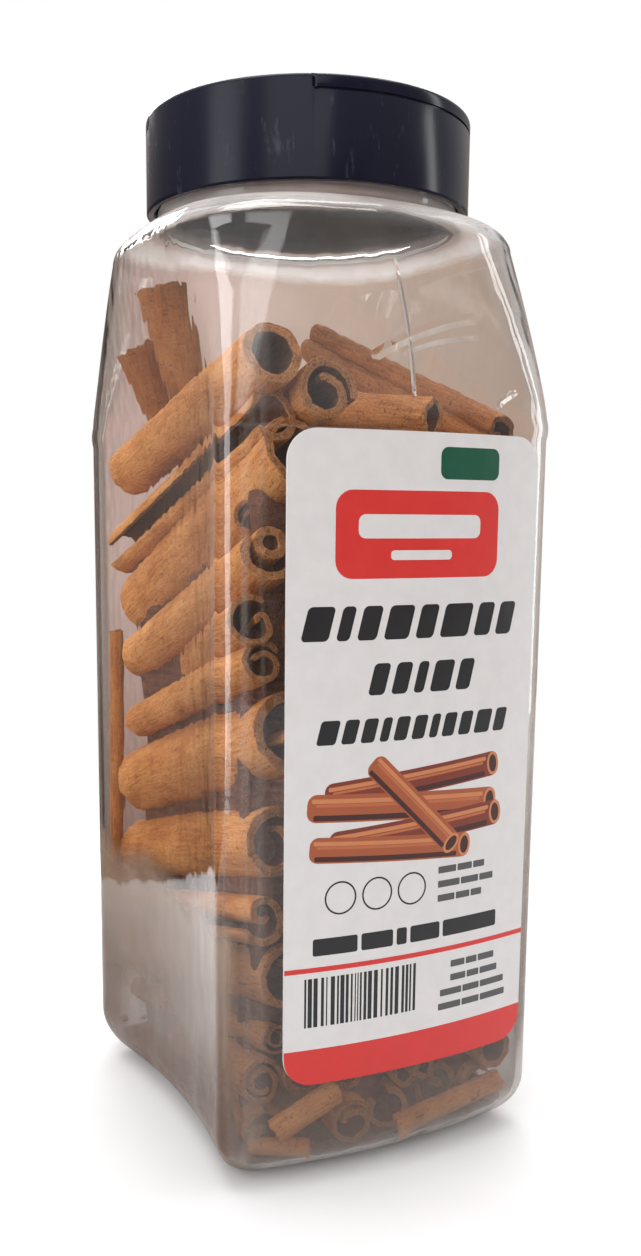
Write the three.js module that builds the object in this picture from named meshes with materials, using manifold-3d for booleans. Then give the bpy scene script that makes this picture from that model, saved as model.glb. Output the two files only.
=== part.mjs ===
// A square-shouldered clear jar of cinnamon sticks, shut by a round cap, with one label on its front.
// Millimetres, +Z up. The jar stands on z = 0, its axis is x = y = 0 and its label faces -Y.

import * as THREE from 'three';
import { mergeVertices } from 'three/addons/utils/BufferGeometryUtils.js';
import Module from 'manifold-3d';

const wasm = await Module();
wasm.setup();

const DEGREE = Math.PI / 180;
const GAP = 0.3; // between pieces that touch

// The jar: its front and back are crowned, its two sides are bowed in as a grip.
const HALF_WIDTH = 37; // x, at the corners
const HALF_DEPTH = 38.9; // y, at the corners
const CORNER_RADIUS = 5.2;
const FRONT_CROWN = 4.6;
const SIDE_BOW = 4.1;
const WALL = 1.0;
const HEEL_RADIUS = 11;
const STANDING_RING = 4; // width of the flat ring that it stands on
const PUSH_UP = 2.5; // rise of the base inside that ring
const PANEL_TOP = 145.5;
const RIDGE_HEIGHT = 0.25; // bead round the top of the label panel
const RIDGE_WIDTH = 4.5;
const SHOULDER_TOP = 183;
const SHOULDER_REACH = 36.8; // half of its width and depth at SHOULDER_TOP
const SHOULDER_CORNER = 22.5; // its corner radius there
const NECK_BASE = 189.5;
const NECK_RADIUS = 30.6;
const NECK_TOP = 207.8;
const BEAD_RADIUS = 31.3; // of the bead round the foot of the neck
const BEAD_HEIGHT = 3.6;

// The cap: a plain skirt and a flat top with two flaps, each cut out by a slit and a seam.
const CAP_RADIUS = 33.5;
const CAP_BOTTOM = 191.6;
const CAP_TOP = 210;
const CAP_EDGE_RADIUS = 0.9;
const CAP_SKIRT = 1.8;
const CAP_SEGMENTS = 56;
const FLAP_TURN = 27.2 * DEGREE; // from -Y to the middle of the front flap, anticlockwise from above
const FLAP_HALF_WIDTH = 26.6;
const FLAP_HINGE = 4.2; // from the cap's middle to a flap's hinge
const FLAP_THICKNESS = 2.5;
const SEAM_WIDTH = 0.5;
const SEAM_DEPTH = 0.5;

// The label on the front panel.
const LABEL_LEFT = -25.2;
const LABEL_RIGHT = 31.0;
const LABEL_BOTTOM = 21.5;
const LABEL_TOP = 146;
const LABEL_CORNER = 5.75;
const LABEL_THICKNESS = 0.3;

// The sticks. Each is a roll of bark with an open end, given by its two ends and its radius.
const STICK_SIDES = 8;
const BARK = 1.9;
const BORE_DEPTH = 7;
const FLOOR = 5; // top of the crumbs that the sticks lie on
const SEED = 20260;
const CORE_INSET = 13;
const COLUMNS = [-14, -1.5, 11, 24];
const ROWS = 10;
const ROW_STEP = 12.5;

// Sticks that lean against the left side, one above another, then those on top, as [x, y, z] of
// the front end, [x, y, z] of the back end, and radius.
const HELD_STICKS = [
  [[-26.2, -35.6, 159.5], [-25.5, 33.5, 141.5], 6.2],
  [[-20.0, -36.0, 142.5], [-23.8, 33.0, 110.0], 7.0],
  [[-28.0, -33.0, 148.8], [-30.0, 33.0, 121.8], 4.4],
  [[-25.8, -28.0, 130.6], [-12.0, 33.0, 103.0], 3.8],
  [[-26.4, -36.0, 123.8], [-26.0, 31.0, 97.9], 6.0],
  [[-29.2, -36.0, 111.6], [-17.0, 30.0, 92.0], 5.0],
  [[-27.0, -36.0, 104.4], [-26.0, 31.0, 83.0], 3.9],
  [[-20.9, -36.0, 89.5], [-24.0, 33.0, 67.0], 7.8],
  [[-23.1, -35.5, 68.0], [-23.8, 33.0, 50.0], 7.3],
  [[-27.0, -36.0, 53.5], [-26.5, 33.0, 36.5], 4.6],
  [[-21.2, -36.5, 41.2], [-24.5, 35.0, 25.5], 5.9],
  [[-23.5, -35.5, 28.9], [-26.0, 33.0, 15.8], 3.4],
  [[-27.5, -36.0, 20.2], [-28.0, 2.0, 14.0], 4.6],
  [[-26.0, -35.0, 10.0], [-12.0, 30.0, 10.0], 4.2],
  [[-30.5, 35.4, 104.0], [-31.5, 35.4, 44.0], 1.8],
  [[-13.8, -36.0, 153.7], [-11.0, 30.0, 136.0], 6.2],
  [[11.4, -33.0, 149.4], [-6.5, 0.0, 152.5], 4.4],
  [[27.0, -31.5, 146.0], [18.3, 32.0, 171.5], 5.0],
  [[8.0, -35.5, 140.0], [5.0, 36.0, 127.0], 6.0],
  [[23.5, -34.0, 136.6], [20.0, 36.0, 122.0], 6.6],
  [[-14.8, 18.0, 149.3], [-24.0, 22.5, 180.3], 5.6],
  [[-16.0, 30.0, 147.0], [-28.0, 29.0, 168.0], 4.8],
];

function material(color, roughness, metalness = 0) {
  return new THREE.MeshStandardMaterial({ color, roughness, metalness });
}

/** A closed outline with round corners, crowned and bowed by the share curve, seen from above. */
function outline(halfWidth, halfDepth, cornerRadius, curve) {
  const arcSteps = 4;
  const faceSteps = 7;
  const points = [];
  const corners = [[1, -1], [1, 1], [-1, 1], [-1, -1]];
  corners.forEach(([sx, sy], i) => {
    const centreX = sx * (halfWidth - cornerRadius);
    const centreY = sy * (halfDepth - cornerRadius);
    for (let k = 0; k <= arcSteps; k++) {
      const angle = (i - 1 + k / arcSteps) * 90 * DEGREE;
      points.push([centreX + cornerRadius * Math.cos(angle), centreY + cornerRadius * Math.sin(angle)]);
    }
    const [lastX, lastY] = points[points.length - 1];
    const [nextX, nextY] = corners[(i + 1) % 4];
    const onSide = i % 2 === 0;
    const endX = onSide ? lastX : nextX * (halfWidth - cornerRadius);
    const endY = onSide ? nextY * (halfDepth - cornerRadius) : lastY;
    for (let k = 1; k < faceSteps; k++) {
      const share = k / faceSteps;
      points.push([lastX + (endX - lastX) * share, lastY + (endY - lastY) * share]);
    }
  });
  return points.map(([x, y]) => {
    const crown = curve * FRONT_CROWN * (1 - (x / halfWidth) ** 2) * (y / halfDepth) ** 4;
    const bow = curve * SIDE_BOW * (1 - (y / halfDepth) ** 2) * (x / halfWidth) ** 4;
    return [x - Math.sign(x) * bow, y + Math.sign(y) * crown];
  });
}

/** An outline at height z, drawn in by inset. */
function ring(points, z, inset) {
  const scaleX = (HALF_WIDTH - inset) / HALF_WIDTH;
  const scaleY = (HALF_DEPTH - inset) / HALF_DEPTH;
  return points.map(([x, y]) => new THREE.Vector3(x * scaleX, y * scaleY, z));
}

const BODY = outline(HALF_WIDTH, HALF_DEPTH, CORNER_RADIUS, 1);

/** Heel, panel, ridge, shoulder, bead and neck of one face of the wall, from the bottom up. */
function wallRings(inset) {
  const rings = [];
  const heelRadius = HEEL_RADIUS - inset;
  for (const angle of [90, 67, 45, 22, 0]) {
    const draw = HEEL_RADIUS - heelRadius * Math.cos(angle * DEGREE);
    rings.push(ring(BODY, HEEL_RADIUS - heelRadius * Math.sin(angle * DEGREE), draw));
  }
  rings.push(ring(BODY, PANEL_TOP, inset));
  rings.push(ring(BODY, PANEL_TOP + RIDGE_WIDTH / 2, inset - RIDGE_HEIGHT));
  // Up the shoulder the corners open out and the crown and the bow fade.
  const shoulderStart = PANEL_TOP + RIDGE_WIDTH;
  const shoulderSteps = 5;
  for (let k = 0; k <= shoulderSteps; k++) {
    const share = k / shoulderSteps;
    const section = outline(
      HALF_WIDTH + (SHOULDER_REACH - HALF_WIDTH) * share,
      HALF_DEPTH + (SHOULDER_REACH - HALF_DEPTH) * share,
      CORNER_RADIUS + (SHOULDER_CORNER - CORNER_RADIUS) * share ** 1.25,
      (1 - share) ** 1.7,
    );
    rings.push(ring(section, shoulderStart + (SHOULDER_TOP - shoulderStart) * share, inset));
  }
  // The roll from the shoulder to the neck is a quarter of an ellipse.
  const edge = rings[rings.length - 1];
  const neck = edge.map(({ x, y }) => new THREE.Vector3(x, y, 0).setLength(NECK_RADIUS - inset));
  const rollSteps = 5;
  const rise = NECK_BASE - inset - SHOULDER_TOP;
  for (let k = 1; k <= rollSteps; k++) {
    const angle = (k / rollSteps) * 90 * DEGREE;
    const rolled = edge.map((point, i) => point.clone().lerp(neck[i], 1 - Math.cos(angle)));
    rolled.forEach((point) => point.setZ(SHOULDER_TOP + rise * Math.sin(angle)));
    rings.push(rolled);
  }
  if (inset === 0) {
    const bead = neck.map((point) => point.clone().setZ(0).setLength(BEAD_RADIUS));
    for (const share of [0.25, 0.75]) {
      rings.push(bead.map((point) => point.clone().setZ(NECK_BASE + share * BEAD_HEIGHT)));
    }
    rings.push(neck.map((point) => point.clone().setZ(NECK_BASE + BEAD_HEIGHT)));
  }
  rings.push(neck.map((point) => point.clone().setZ(NECK_TOP)));
  return rings;
}

/** A closed surface through rings of points, with a fan at each end. */
function skin(rings, firstCentre, lastCentre) {
  const count = rings[0].length;
  const points = [firstCentre, ...rings.flat(), lastCentre];
  const faces = [];
  const at = (row, i) => 1 + row * count + (i % count);
  for (let i = 0; i < count; i++) {
    faces.push(0, at(0, i + 1), at(0, i));
    faces.push(points.length - 1, at(rings.length - 1, i), at(rings.length - 1, i + 1));
    for (let row = 0; row + 1 < rings.length; row++) {
      faces.push(at(row, i), at(row, i + 1), at(row + 1, i + 1));
      faces.push(at(row, i), at(row + 1, i + 1), at(row + 1, i));
    }
  }
  const geometry = new THREE.BufferGeometry().setFromPoints(points);
  geometry.setIndex(faces);
  return geometry;
}

function jar() {
  const standing = HEEL_RADIUS + STANDING_RING;
  const outside = [ring(BODY, 0, standing), ...wallRings(0)];
  const inside = [ring(BODY, WALL, standing), ...wallRings(WALL)].reverse();
  const geometry = skin(
    [ring(BODY, PUSH_UP, standing + 3), ...outside, ...inside, ring(BODY, PUSH_UP + WALL, standing + 3)],
    new THREE.Vector3(0, 0, PUSH_UP),
    new THREE.Vector3(0, 0, PUSH_UP + WALL),
  );
  return new THREE.Mesh(geometry, material(0xe8ece9, 0.08));
}

function toSolid(geometry) {
  const bare = geometry.clone();
  bare.deleteAttribute('normal');
  bare.deleteAttribute('uv');
  const merged = mergeVertices(bare, 1e-4);
  return new wasm.Manifold(new wasm.Mesh({
    numProp: 3,
    vertProperties: Float32Array.from(merged.attributes.position.array),
    triVerts: Uint32Array.from(merged.index.array),
  }));
}

function toGeometry(solid) {
  const mesh = solid.getMesh();
  const geometry = new THREE.BufferGeometry();
  geometry.setAttribute('position', new THREE.BufferAttribute(mesh.vertProperties, 3));
  geometry.setIndex(new THREE.BufferAttribute(mesh.triVerts, 1));
  return geometry;
}

/** A solid of revolution about z from [radius, z] points that start and end on the axis. */
function turned(profile, segments, start = 0, sweep = 2 * Math.PI) {
  const points = profile.map(([radius, z]) => new THREE.Vector2(radius, z));
  return new THREE.LatheGeometry(points, segments, start, sweep).rotateX(Math.PI / 2);
}

/** Cutter for the seam under a flap's rim: a block that bites into the skirt along the flap. */
function seamCutter(side) {
  const outer = new THREE.Shape();
  const half = Math.asin(FLAP_HALF_WIDTH / CAP_RADIUS);
  const reach = CAP_RADIUS + 1;
  outer.absarc(0, 0, reach, -half, half, false);
  outer.absarc(0, 0, CAP_RADIUS - SEAM_DEPTH, half, -half, true);
  const geometry = new THREE.ExtrudeGeometry(outer, {
    depth: SEAM_WIDTH, bevelEnabled: false, curveSegments: 14,
  });
  geometry.rotateZ(side > 0 ? -90 * DEGREE : 90 * DEGREE);
  geometry.translate(0, 0, CAP_TOP - FLAP_THICKNESS - SEAM_WIDTH);
  return geometry;
}

/** Cutters for one flap: two slits from its hinge to the rim, its hinge line and its seam. */
function flapCutters(side) {
  const length = CAP_RADIUS + 1 - FLAP_HINGE;
  const top = CAP_TOP + 1;
  const cutters = [seamCutter(side)];
  const middle = -side * (FLAP_HINGE + length / 2);
  for (const edge of [-1, 1]) {
    const slit = new THREE.BoxGeometry(SEAM_WIDTH, length, 2 * (SEAM_DEPTH + 1));
    cutters.push(slit.translate(edge * FLAP_HALF_WIDTH, middle, top - SEAM_DEPTH / 2));
    // The slit's end runs down the skirt to the seam.
    const rim = Math.sqrt(CAP_RADIUS ** 2 - FLAP_HALF_WIDTH ** 2);
    const notch = new THREE.BoxGeometry(SEAM_WIDTH, 2, FLAP_THICKNESS + 1);
    const notchZ = CAP_TOP + (1 - FLAP_THICKNESS) / 2;
    cutters.push(notch.translate(edge * FLAP_HALF_WIDTH, -side * (rim + 1 - SEAM_DEPTH), notchZ));
  }
  const hinge = new THREE.BoxGeometry(2 * FLAP_HALF_WIDTH, SEAM_WIDTH, 2 * (SEAM_DEPTH + 1));
  cutters.push(hinge.translate(0, -side * FLAP_HINGE, top - SEAM_DEPTH / 2));
  return cutters;
}

function cap() {
  const edge = [];
  for (const angle of [0, 30, 60, 90]) {
    edge.push([
      CAP_RADIUS - CAP_EDGE_RADIUS * (1 - Math.cos(angle * DEGREE)),
      CAP_TOP - CAP_EDGE_RADIUS * (1 - Math.sin(angle * DEGREE)),
    ]);
  }
  const inside = NECK_TOP + GAP;
  const bore = CAP_RADIUS - CAP_SKIRT;
  const profile = [
    [0, inside], [bore, inside], [bore, CAP_BOTTOM], [CAP_RADIUS, CAP_BOTTOM],
    ...edge, [0, CAP_TOP],
  ];
  let solid = toSolid(turned(profile, CAP_SEGMENTS));
  for (const cutter of [...flapCutters(1), ...flapCutters(-1)]) {
    solid = solid.subtract(toSolid(cutter));
  }
  const mesh = new THREE.Mesh(toGeometry(solid), material(0x26262f, 0.3));
  mesh.rotation.z = FLAP_TURN;
  return mesh;
}

/** y of the jar's front panel at x, lifted outwards by lift. */
function frontPanel(x, lift) {
  return -(HALF_DEPTH + FRONT_CROWN * (1 - (x / HALF_WIDTH) ** 2) + lift);
}

function label() {
  // Stations across the label: close together round its corners, even between them.
  const stations = [];
  for (const angle of [0, 30, 60, 90]) {
    stations.push({
      x: LABEL_CORNER * (1 - Math.cos(angle * DEGREE)),
      drop: LABEL_CORNER * (1 - Math.sin(angle * DEGREE)),
    });
  }
  const width = LABEL_RIGHT - LABEL_LEFT;
  const steps = 10;
  for (let k = 1; k < steps; k++) {
    stations.push({ x: LABEL_CORNER + (width - 2 * LABEL_CORNER) * (k / steps), drop: 0 });
  }
  stations.push(...stations.slice(0, 4).reverse().map(({ x, drop }) => ({ x: width - x, drop })));
  const rings = stations.map(({ x, drop }) => {
    const at = LABEL_LEFT + x;
    const back = frontPanel(at, GAP);
    const front = frontPanel(at, GAP + LABEL_THICKNESS);
    return [
      new THREE.Vector3(at, back, LABEL_BOTTOM + drop),
      new THREE.Vector3(at, back, LABEL_TOP - drop),
      new THREE.Vector3(at, front, LABEL_TOP - drop),
      new THREE.Vector3(at, front, LABEL_BOTTOM + drop),
    ];
  });
  const middle = (points) => points.reduce((sum, p) => sum.add(p), new THREE.Vector3()).divideScalar(4);
  const geometry = skin(rings, middle(rings[0]), middle(rings[rings.length - 1]));
  return new THREE.Mesh(geometry, material(0xd6d4d2, 0.5));
}

/** A seeded draw between 0 and 1. */
function makeDraw(seed) {
  let state = seed;
  return () => {
    state = (state * 16807) % 2147483647;
    return state / 2147483647;
  };
}

/** Sticks laid in rows from front to back, their front ends raised, before they settle. */
function looseSticks() {
  const draw = makeDraw(SEED);
  const sticks = [];
  for (let row = 0; row < ROWS; row++) {
    for (const column of COLUMNS) {
      const radius = 4.4 + 2.8 * draw();
      const length = 67 + 9 * draw();
      const tilt = (2 + 1.3 * row + 6 * (draw() - 0.5)) * DEGREE;
      const turn = (draw() - 0.5) * 16 * DEGREE;
      const x = column + (row % 2 ? -3 : 3) + 3 * (draw() - 0.5);
      const y = 3 * (draw() - 0.5);
      const z = FLOOR + 8 + row * ROW_STEP;
      const reach = new THREE.Vector3(
        Math.sin(turn) * Math.cos(tilt), -Math.cos(turn) * Math.cos(tilt), Math.sin(tilt),
      ).multiplyScalar(length / 2);
      const centre = new THREE.Vector3(x, y, z);
      sticks.push({
        front: centre.clone().add(reach), back: centre.clone().sub(reach), radius, length, held: false,
      });
    }
  }
  return sticks;
}

/** Shares along two sticks at which they come closest. */
function closestShares(one, other) {
  const u = one.back.clone().sub(one.front);
  const v = other.back.clone().sub(other.front);
  const w = one.front.clone().sub(other.front);
  const a = u.dot(u);
  const b = u.dot(v);
  const c = v.dot(v);
  const d = u.dot(w);
  const e = v.dot(w);
  const limit = (value) => Math.min(1, Math.max(0, value));
  const spread = a * c - b * b;
  let s = spread > 1e-9 ? limit((b * e - c * d) / spread) : 0.5;
  const t = limit((b * s + e) / c);
  s = limit((b * t - d) / a);
  return [s, t];
}

/** Moves a stick so that its point at share goes by shift. */
function nudge(stick, share, shift) {
  const front = 1 - share;
  const scale = 1 / (front * front + share * share);
  stick.front.addScaledVector(shift, front * scale);
  stick.back.addScaledVector(shift, share * scale);
}

function pushApart(one, other) {
  const reach = one.radius + other.radius;
  const lowest = (stick) => Math.min(stick.front.z, stick.back.z);
  const highest = (stick) => Math.max(stick.front.z, stick.back.z);
  if (lowest(one) - highest(other) > reach || lowest(other) - highest(one) > reach) return;
  const [s, t] = closestShares(one, other);
  const pointOne = one.front.clone().lerp(one.back, s);
  const apart = pointOne.sub(other.front.clone().lerp(other.back, t));
  const distance = apart.length();
  if (distance >= reach || distance < 1e-6) return;
  apart.multiplyScalar((reach - distance) / distance);
  const share = one.held || other.held ? 1 : 0.5;
  if (!one.held) nudge(one, s, apart.clone().multiplyScalar(share));
  if (!other.held) nudge(other, t, apart.clone().multiplyScalar(-share));
}

/** How far the wall's inner face stands from the middle plane x = 0 at the given y and z. */
function sideReach(y, z) {
  const bow = SIDE_BOW * Math.max(0, 1 - (y / HALF_DEPTH) ** 2);
  return HALF_WIDTH - WALL - bow - heelDraw(z);
}

/** How far the wall's inner face stands from the middle plane y = 0 at the given x and z. */
function panelReach(x, z) {
  const crown = FRONT_CROWN * Math.max(0, 1 - (x / HALF_WIDTH) ** 2);
  const round = Math.min(CORNER_RADIUS, Math.max(0, Math.abs(x) - (HALF_WIDTH - CORNER_RADIUS)));
  const corner = CORNER_RADIUS - Math.sqrt(CORNER_RADIUS ** 2 - round ** 2);
  return HALF_DEPTH - WALL + crown - corner - heelDraw(z);
}

/** How far the round heel draws the inner wall in at the given height. */
function heelDraw(z) {
  const radius = HEEL_RADIUS - WALL;
  const below = Math.min(radius, Math.max(0, HEEL_RADIUS - z));
  return radius - Math.sqrt(radius ** 2 - below ** 2);
}

/** Keeps a stick inside the jar and at its own length. */
function contain(stick) {
  const axis = stick.back.clone().sub(stick.front);
  const middle = stick.front.clone().lerp(stick.back, 0.5);
  axis.setLength(stick.length / 2);
  stick.front.copy(middle).sub(axis);
  stick.back.copy(middle).add(axis);
  const room = stick.radius + GAP + 0.1;
  const flank = 0.7 * stick.radius; // of its edge, level with its rounded-off corner
  for (const share of [0, 0.25, 0.5, 0.75, 1]) {
    const point = stick.front.clone().lerp(stick.back, share);
    const over = Math.abs(point.x) + room - sideReach(point.y, point.z - flank);
    if (over > 0) nudge(stick, share, new THREE.Vector3(-Math.sign(point.x) * over, 0, 0));
    const lift = FLOOR + stick.radius - point.z;
    if (lift > 0) nudge(stick, share, new THREE.Vector3(0, 0, lift));
  }
  const slope = Math.sqrt(Math.max(0, 1 - (axis.y / axis.length()) ** 2));
  for (const end of [stick.front.clone(), stick.back.clone()]) {
    const reach = panelReach(Math.abs(end.x) + flank, end.z - flank);
    const over = Math.abs(end.y) + stick.radius * slope + 2 * GAP - reach;
    const shift = -Math.sign(end.y) * Math.max(0, over);
    stick.front.y += shift;
    stick.back.y += shift;
  }
}

/** Lets the loose sticks sink on to the held ones and on to each other. */
function settle(sticks) {
  const passes = 260;
  const sinking = 200;
  for (let pass = 0; pass < passes; pass++) {
    const drop = pass < sinking ? 0.35 * (1 - pass / sinking) + 0.04 : 0;
    for (const stick of sticks) {
      if (!stick.held) nudge(stick, 0.5, new THREE.Vector3(0, 0, -drop / 2));
    }
    for (let i = 0; i < sticks.length; i++) {
      for (let j = i + 1; j < sticks.length; j++) {
        if (!sticks[i].held || !sticks[j].held) pushApart(sticks[i], sticks[j]);
      }
    }
    for (const stick of sticks) {
      if (!stick.held) contain(stick);
    }
  }
  return sticks;
}

function allSticks() {
  const held = HELD_STICKS.map(([front, back, radius]) => {
    const ends = { front: new THREE.Vector3(...front), back: new THREE.Vector3(...back) };
    const stick = { ...ends, radius, length: ends.front.distanceTo(ends.back), held: true };
    for (let pass = 0; pass < 4; pass++) contain(stick);
    return stick;
  });
  return settle([...held, ...looseSticks()]);
}

function stickSolid(stick, index) {
  const half = stick.length / 2;
  const bore = stick.radius - BARK;
  const floor = half - BORE_DEPTH;
  const profile = [
    [0, -floor], [bore, -floor], [bore, -half], [stick.radius, -half],
    [stick.radius, half], [bore, half], [bore, floor], [0, floor],
  ];
  const geometry = turned(profile, STICK_SIDES);
  const along = stick.back.clone().sub(stick.front).normalize();
  const turn = new THREE.Quaternion().setFromUnitVectors(new THREE.Vector3(0, 0, 1), along);
  const middle = stick.front.clone().lerp(stick.back, 0.5);
  geometry.rotateZ(index).applyQuaternion(turn).translate(middle.x, middle.y, middle.z);
  return toSolid(geometry);
}

/** The block inside the heap that its sticks are fused to, high at the front and low at the back. */
function coreSolid() {
  const reachX = HALF_WIDTH - CORE_INSET;
  const reachY = HALF_DEPTH - CORE_INSET;
  const side = new THREE.Shape([
    new THREE.Vector2(-reachY, FLOOR + 3),
    new THREE.Vector2(reachY, FLOOR + 3),
    new THREE.Vector2(reachY, 132),
    new THREE.Vector2(-reachY, 143),
  ]);
  const geometry = new THREE.ExtrudeGeometry(side, { depth: 2 * reachX, bevelEnabled: false, steps: 1 });
  geometry.rotateX(90 * DEGREE).rotateZ(90 * DEGREE).translate(-reachX, 0, 0);
  return toSolid(geometry);
}

function cinnamonSticks() {
  let heap = coreSolid();
  allSticks().forEach((stick, index) => {
    heap = heap.add(stickSolid(stick, index));
  });
  // Only the outer skin is kept, which fills any hollow that the joining sealed.
  const [outer] = heap.decompose().sort((a, b) => b.volume() - a.volume());
  return new THREE.Mesh(toGeometry(outer), material(0xc08552, 0.9));
}

const part = new THREE.Group();
for (const [name, make] of Object.entries({ jar, cap, label, cinnamon_sticks: cinnamonSticks })) {
  const mesh = make();
  mesh.name = name;
  part.add(mesh);
}

export default part;
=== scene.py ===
"""The looks of a clear square-shouldered jar of cinnamon sticks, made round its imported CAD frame.

Blender 4.5. Lengths in this script are millimetres, and MM turns them into Blender's metres. +Z is
up, the jar's axis is x = y = 0 and its label faces -Y.
"""

import math

import bmesh
import bpy
import numpy as np
from mathutils import Matrix, Vector


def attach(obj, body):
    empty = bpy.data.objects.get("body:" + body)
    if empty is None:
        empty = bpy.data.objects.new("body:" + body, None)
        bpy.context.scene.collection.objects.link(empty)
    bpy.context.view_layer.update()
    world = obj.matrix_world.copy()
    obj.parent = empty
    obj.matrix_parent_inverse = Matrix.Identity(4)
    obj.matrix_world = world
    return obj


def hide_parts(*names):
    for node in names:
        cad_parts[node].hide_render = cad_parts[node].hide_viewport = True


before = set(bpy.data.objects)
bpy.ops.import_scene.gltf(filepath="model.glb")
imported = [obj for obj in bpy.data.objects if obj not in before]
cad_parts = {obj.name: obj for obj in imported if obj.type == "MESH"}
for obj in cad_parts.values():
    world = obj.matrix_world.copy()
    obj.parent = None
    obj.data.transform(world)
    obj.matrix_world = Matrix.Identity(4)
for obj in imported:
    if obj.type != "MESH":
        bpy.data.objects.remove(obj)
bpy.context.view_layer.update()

MM = 0.001
DEGREE = math.pi / 180

# The jar, as the CAD has it.
HALF_WIDTH = 37.0
HALF_DEPTH = 38.9
CORNER_RADIUS = 5.2
FRONT_CROWN = 4.6
SIDE_BOW = 4.1
WALL = 1.0
HEEL_RADIUS = 11.0
STANDING_RING = 4.0
PUSH_UP = 2.5
PUSH_UP_SLOPE = 3.0
PUSH_UP_FLAT = 16.0
PANEL_TOP = 145.5
RIDGE_HEIGHT = 0.25
RIDGE_WIDTH = 4.5
SHOULDER_TOP = 183.0
SHOULDER_REACH = 36.8
SHOULDER_CORNER = 22.5
NECK_BASE = 189.5
NECK_RADIUS = 30.6
NECK_TOP = 207.8
BEAD_RADIUS = 31.3
BEAD_HEIGHT = 3.6
GAP = 0.3

# The cap.
CAP_RADIUS = 33.5
CAP_BOTTOM = 191.6
CAP_TOP = 210.0
CAP_EDGE_RADIUS = 0.9
CAP_SKIRT = 1.8
CAP_LIP = 0.4
CAP_SOFTNESS = 0.12
LINER_GAP = 0.06
FLAP_TURN = 27.2 * DEGREE
FLAP_HALF_WIDTH = 26.6
FLAP_HINGE = 4.2
FLAP_THICKNESS = 2.5
SEAM_WIDTH = 0.5
SEAM_DEPTH = 0.5

# The label.
LABEL_LEFT = -25.2
LABEL_RIGHT = 31.0
LABEL_BOTTOM = 21.5
LABEL_TOP = 146.0
LABEL_CORNER = 5.75
LABEL_THICKNESS = 0.3
LABEL_PASTE = 0.02
LABEL_STEP = 1.5  # between the cuts at which its pieces bend with the panel
INK_ROOM = 0.05
INK_LAYER = 0.01
SMALL_LINE = 1.4
SMALL_LINE_STEP = 2.9
BAND_TOP = 28.7

# The sticks, with the CAD's own seed, so that each lies where its solid does.
FLOOR = 5.0
SEED = 20260
CORE_INSET = 9.5
CORE_TOP = 132.0
CORE_SLOPE = 0.19
COLUMNS = (-14.0, -1.5, 11.0, 24.0)
ROWS = 10
ROW_STEP = 12.5

DOUBLE = "double"  # the kind with two rolls side by side, one from each edge of the bark
# Sticks that lean against the left side, then those on top: front end, back end, radius, the kind
# of its roll, the turn of its seam in degrees, and its tint from 0, dark and red, to 1, light. The
# tints of the sticks near the foot are darker as painted shade; the others give each stick's own tone.
HELD_STICKS = (
    ((-26.2, -35.6, 159.5), (-25.5, 33.5, 141.5), 6.2, "butt", 128, 0.95),
    ((-20.0, -36.0, 142.5), (-23.8, 33.0, 110.0), 7.0, "open", -15, 0.85),
    ((-28.0, -33.0, 148.8), (-30.0, 33.0, 121.8), 4.4, "open", 215, 0.95),
    ((-25.8, -28.0, 130.6), (-12.0, 33.0, 103.0), 3.8, "lap", 30, 0.50),
    ((-26.4, -36.0, 123.8), (-26.0, 31.0, 97.9), 6.0, "loop", 130, 0.95),
    ((-29.2, -36.0, 111.6), (-17.0, 30.0, 92.0), 5.0, "hook", 50, 0.80),
    ((-27.0, -36.0, 104.4), (-26.0, 31.0, 83.0), 3.9, "lap", 30, 0.90),
    ((-20.9, -36.0, 89.5), (-24.0, 33.0, 67.0), 7.8, "curl", 40, 0.80),
    ((-23.1, -35.5, 68.0), (-23.8, 33.0, 50.0), 7.3, "lap", 300, 0.70),
    ((-27.0, -36.0, 53.5), (-26.5, 33.0, 36.5), 4.6, "curl", 200, 0.60),
    ((-21.2, -36.5, 41.2), (-24.5, 35.0, 25.5), 5.9, "lap", 330, 0.70),
    ((-23.5, -35.5, 28.9), (-26.0, 33.0, 15.8), 3.4, "spiral", 110, 0.50),
    ((-27.5, -36.0, 20.2), (-28.0, 2.0, 14.0), 4.6, "spiral", 10, 0.50),
    ((-26.0, -35.0, 10.0), (-12.0, 30.0, 10.0), 4.2, "butt", 90, 0.40),
    ((-30.5, 35.4, 104.0), (-31.5, 35.4, 44.0), 1.8, "butt", 0, 0.40),
    ((-13.8, -36.0, 153.7), (-11.0, 30.0, 136.0), 6.2, "lap", -15, 0.80),
    ((11.4, -33.0, 149.4), (-6.5, 0.0, 152.5), 4.4, "butt", 80, 0.75),
    ((27.0, -31.5, 146.0), (18.3, 32.0, 171.5), 5.0, DOUBLE, 330, 0.30),
    ((8.0, -35.5, 140.0), (5.0, 36.0, 127.0), 6.0, "lap", 110, 0.70),
    ((23.5, -34.0, 136.6), (20.0, 36.0, 122.0), 6.6, DOUBLE, 200, 0.75),
    ((-14.8, 18.0, 149.3), (-24.0, 22.5, 180.3), 5.6, "trough", 105, 0.26),
    ((-16.0, 30.0, 147.0), (-28.0, 29.0, 168.0), 4.8, "trough", 118, 0.20),
)
# Held sticks that are a little fuller than their solids: their number, radius and lift.
FULLER = {
    1: (7.4, 0.0), 2: (5.6, 0.2), 6: (4.5, -0.5), 7: (8.5, 0.6), 8: (8.0, 0.2), 9: (5.0, 0.0),
    10: (6.8, 0.3), 12: (5.3, 0.5), 13: (5.0, 0.2),
}
SETTLING = 4  # how often a held stick is put back inside the jar
# Held sticks whose back ends reach nearer to the wall than their solids do: their number and that end.
LONGER = {0: (-26.3, 36.6, 140.7), 2: (-29.8, 36.6, 121.6)}
# A stick and a broken one that fill a gap at the right side, told as the held sticks are.
FILLERS = (
    ((27.0, -33.0, 123.4), (27.6, 34.0, 115.0), 4.2, "curl", 60, 0.55),
    ((28.0, -33.0, 115.2), (28.4, 3.0, 112.6), 3.4, "spiral", 200, 0.45),
)
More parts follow.
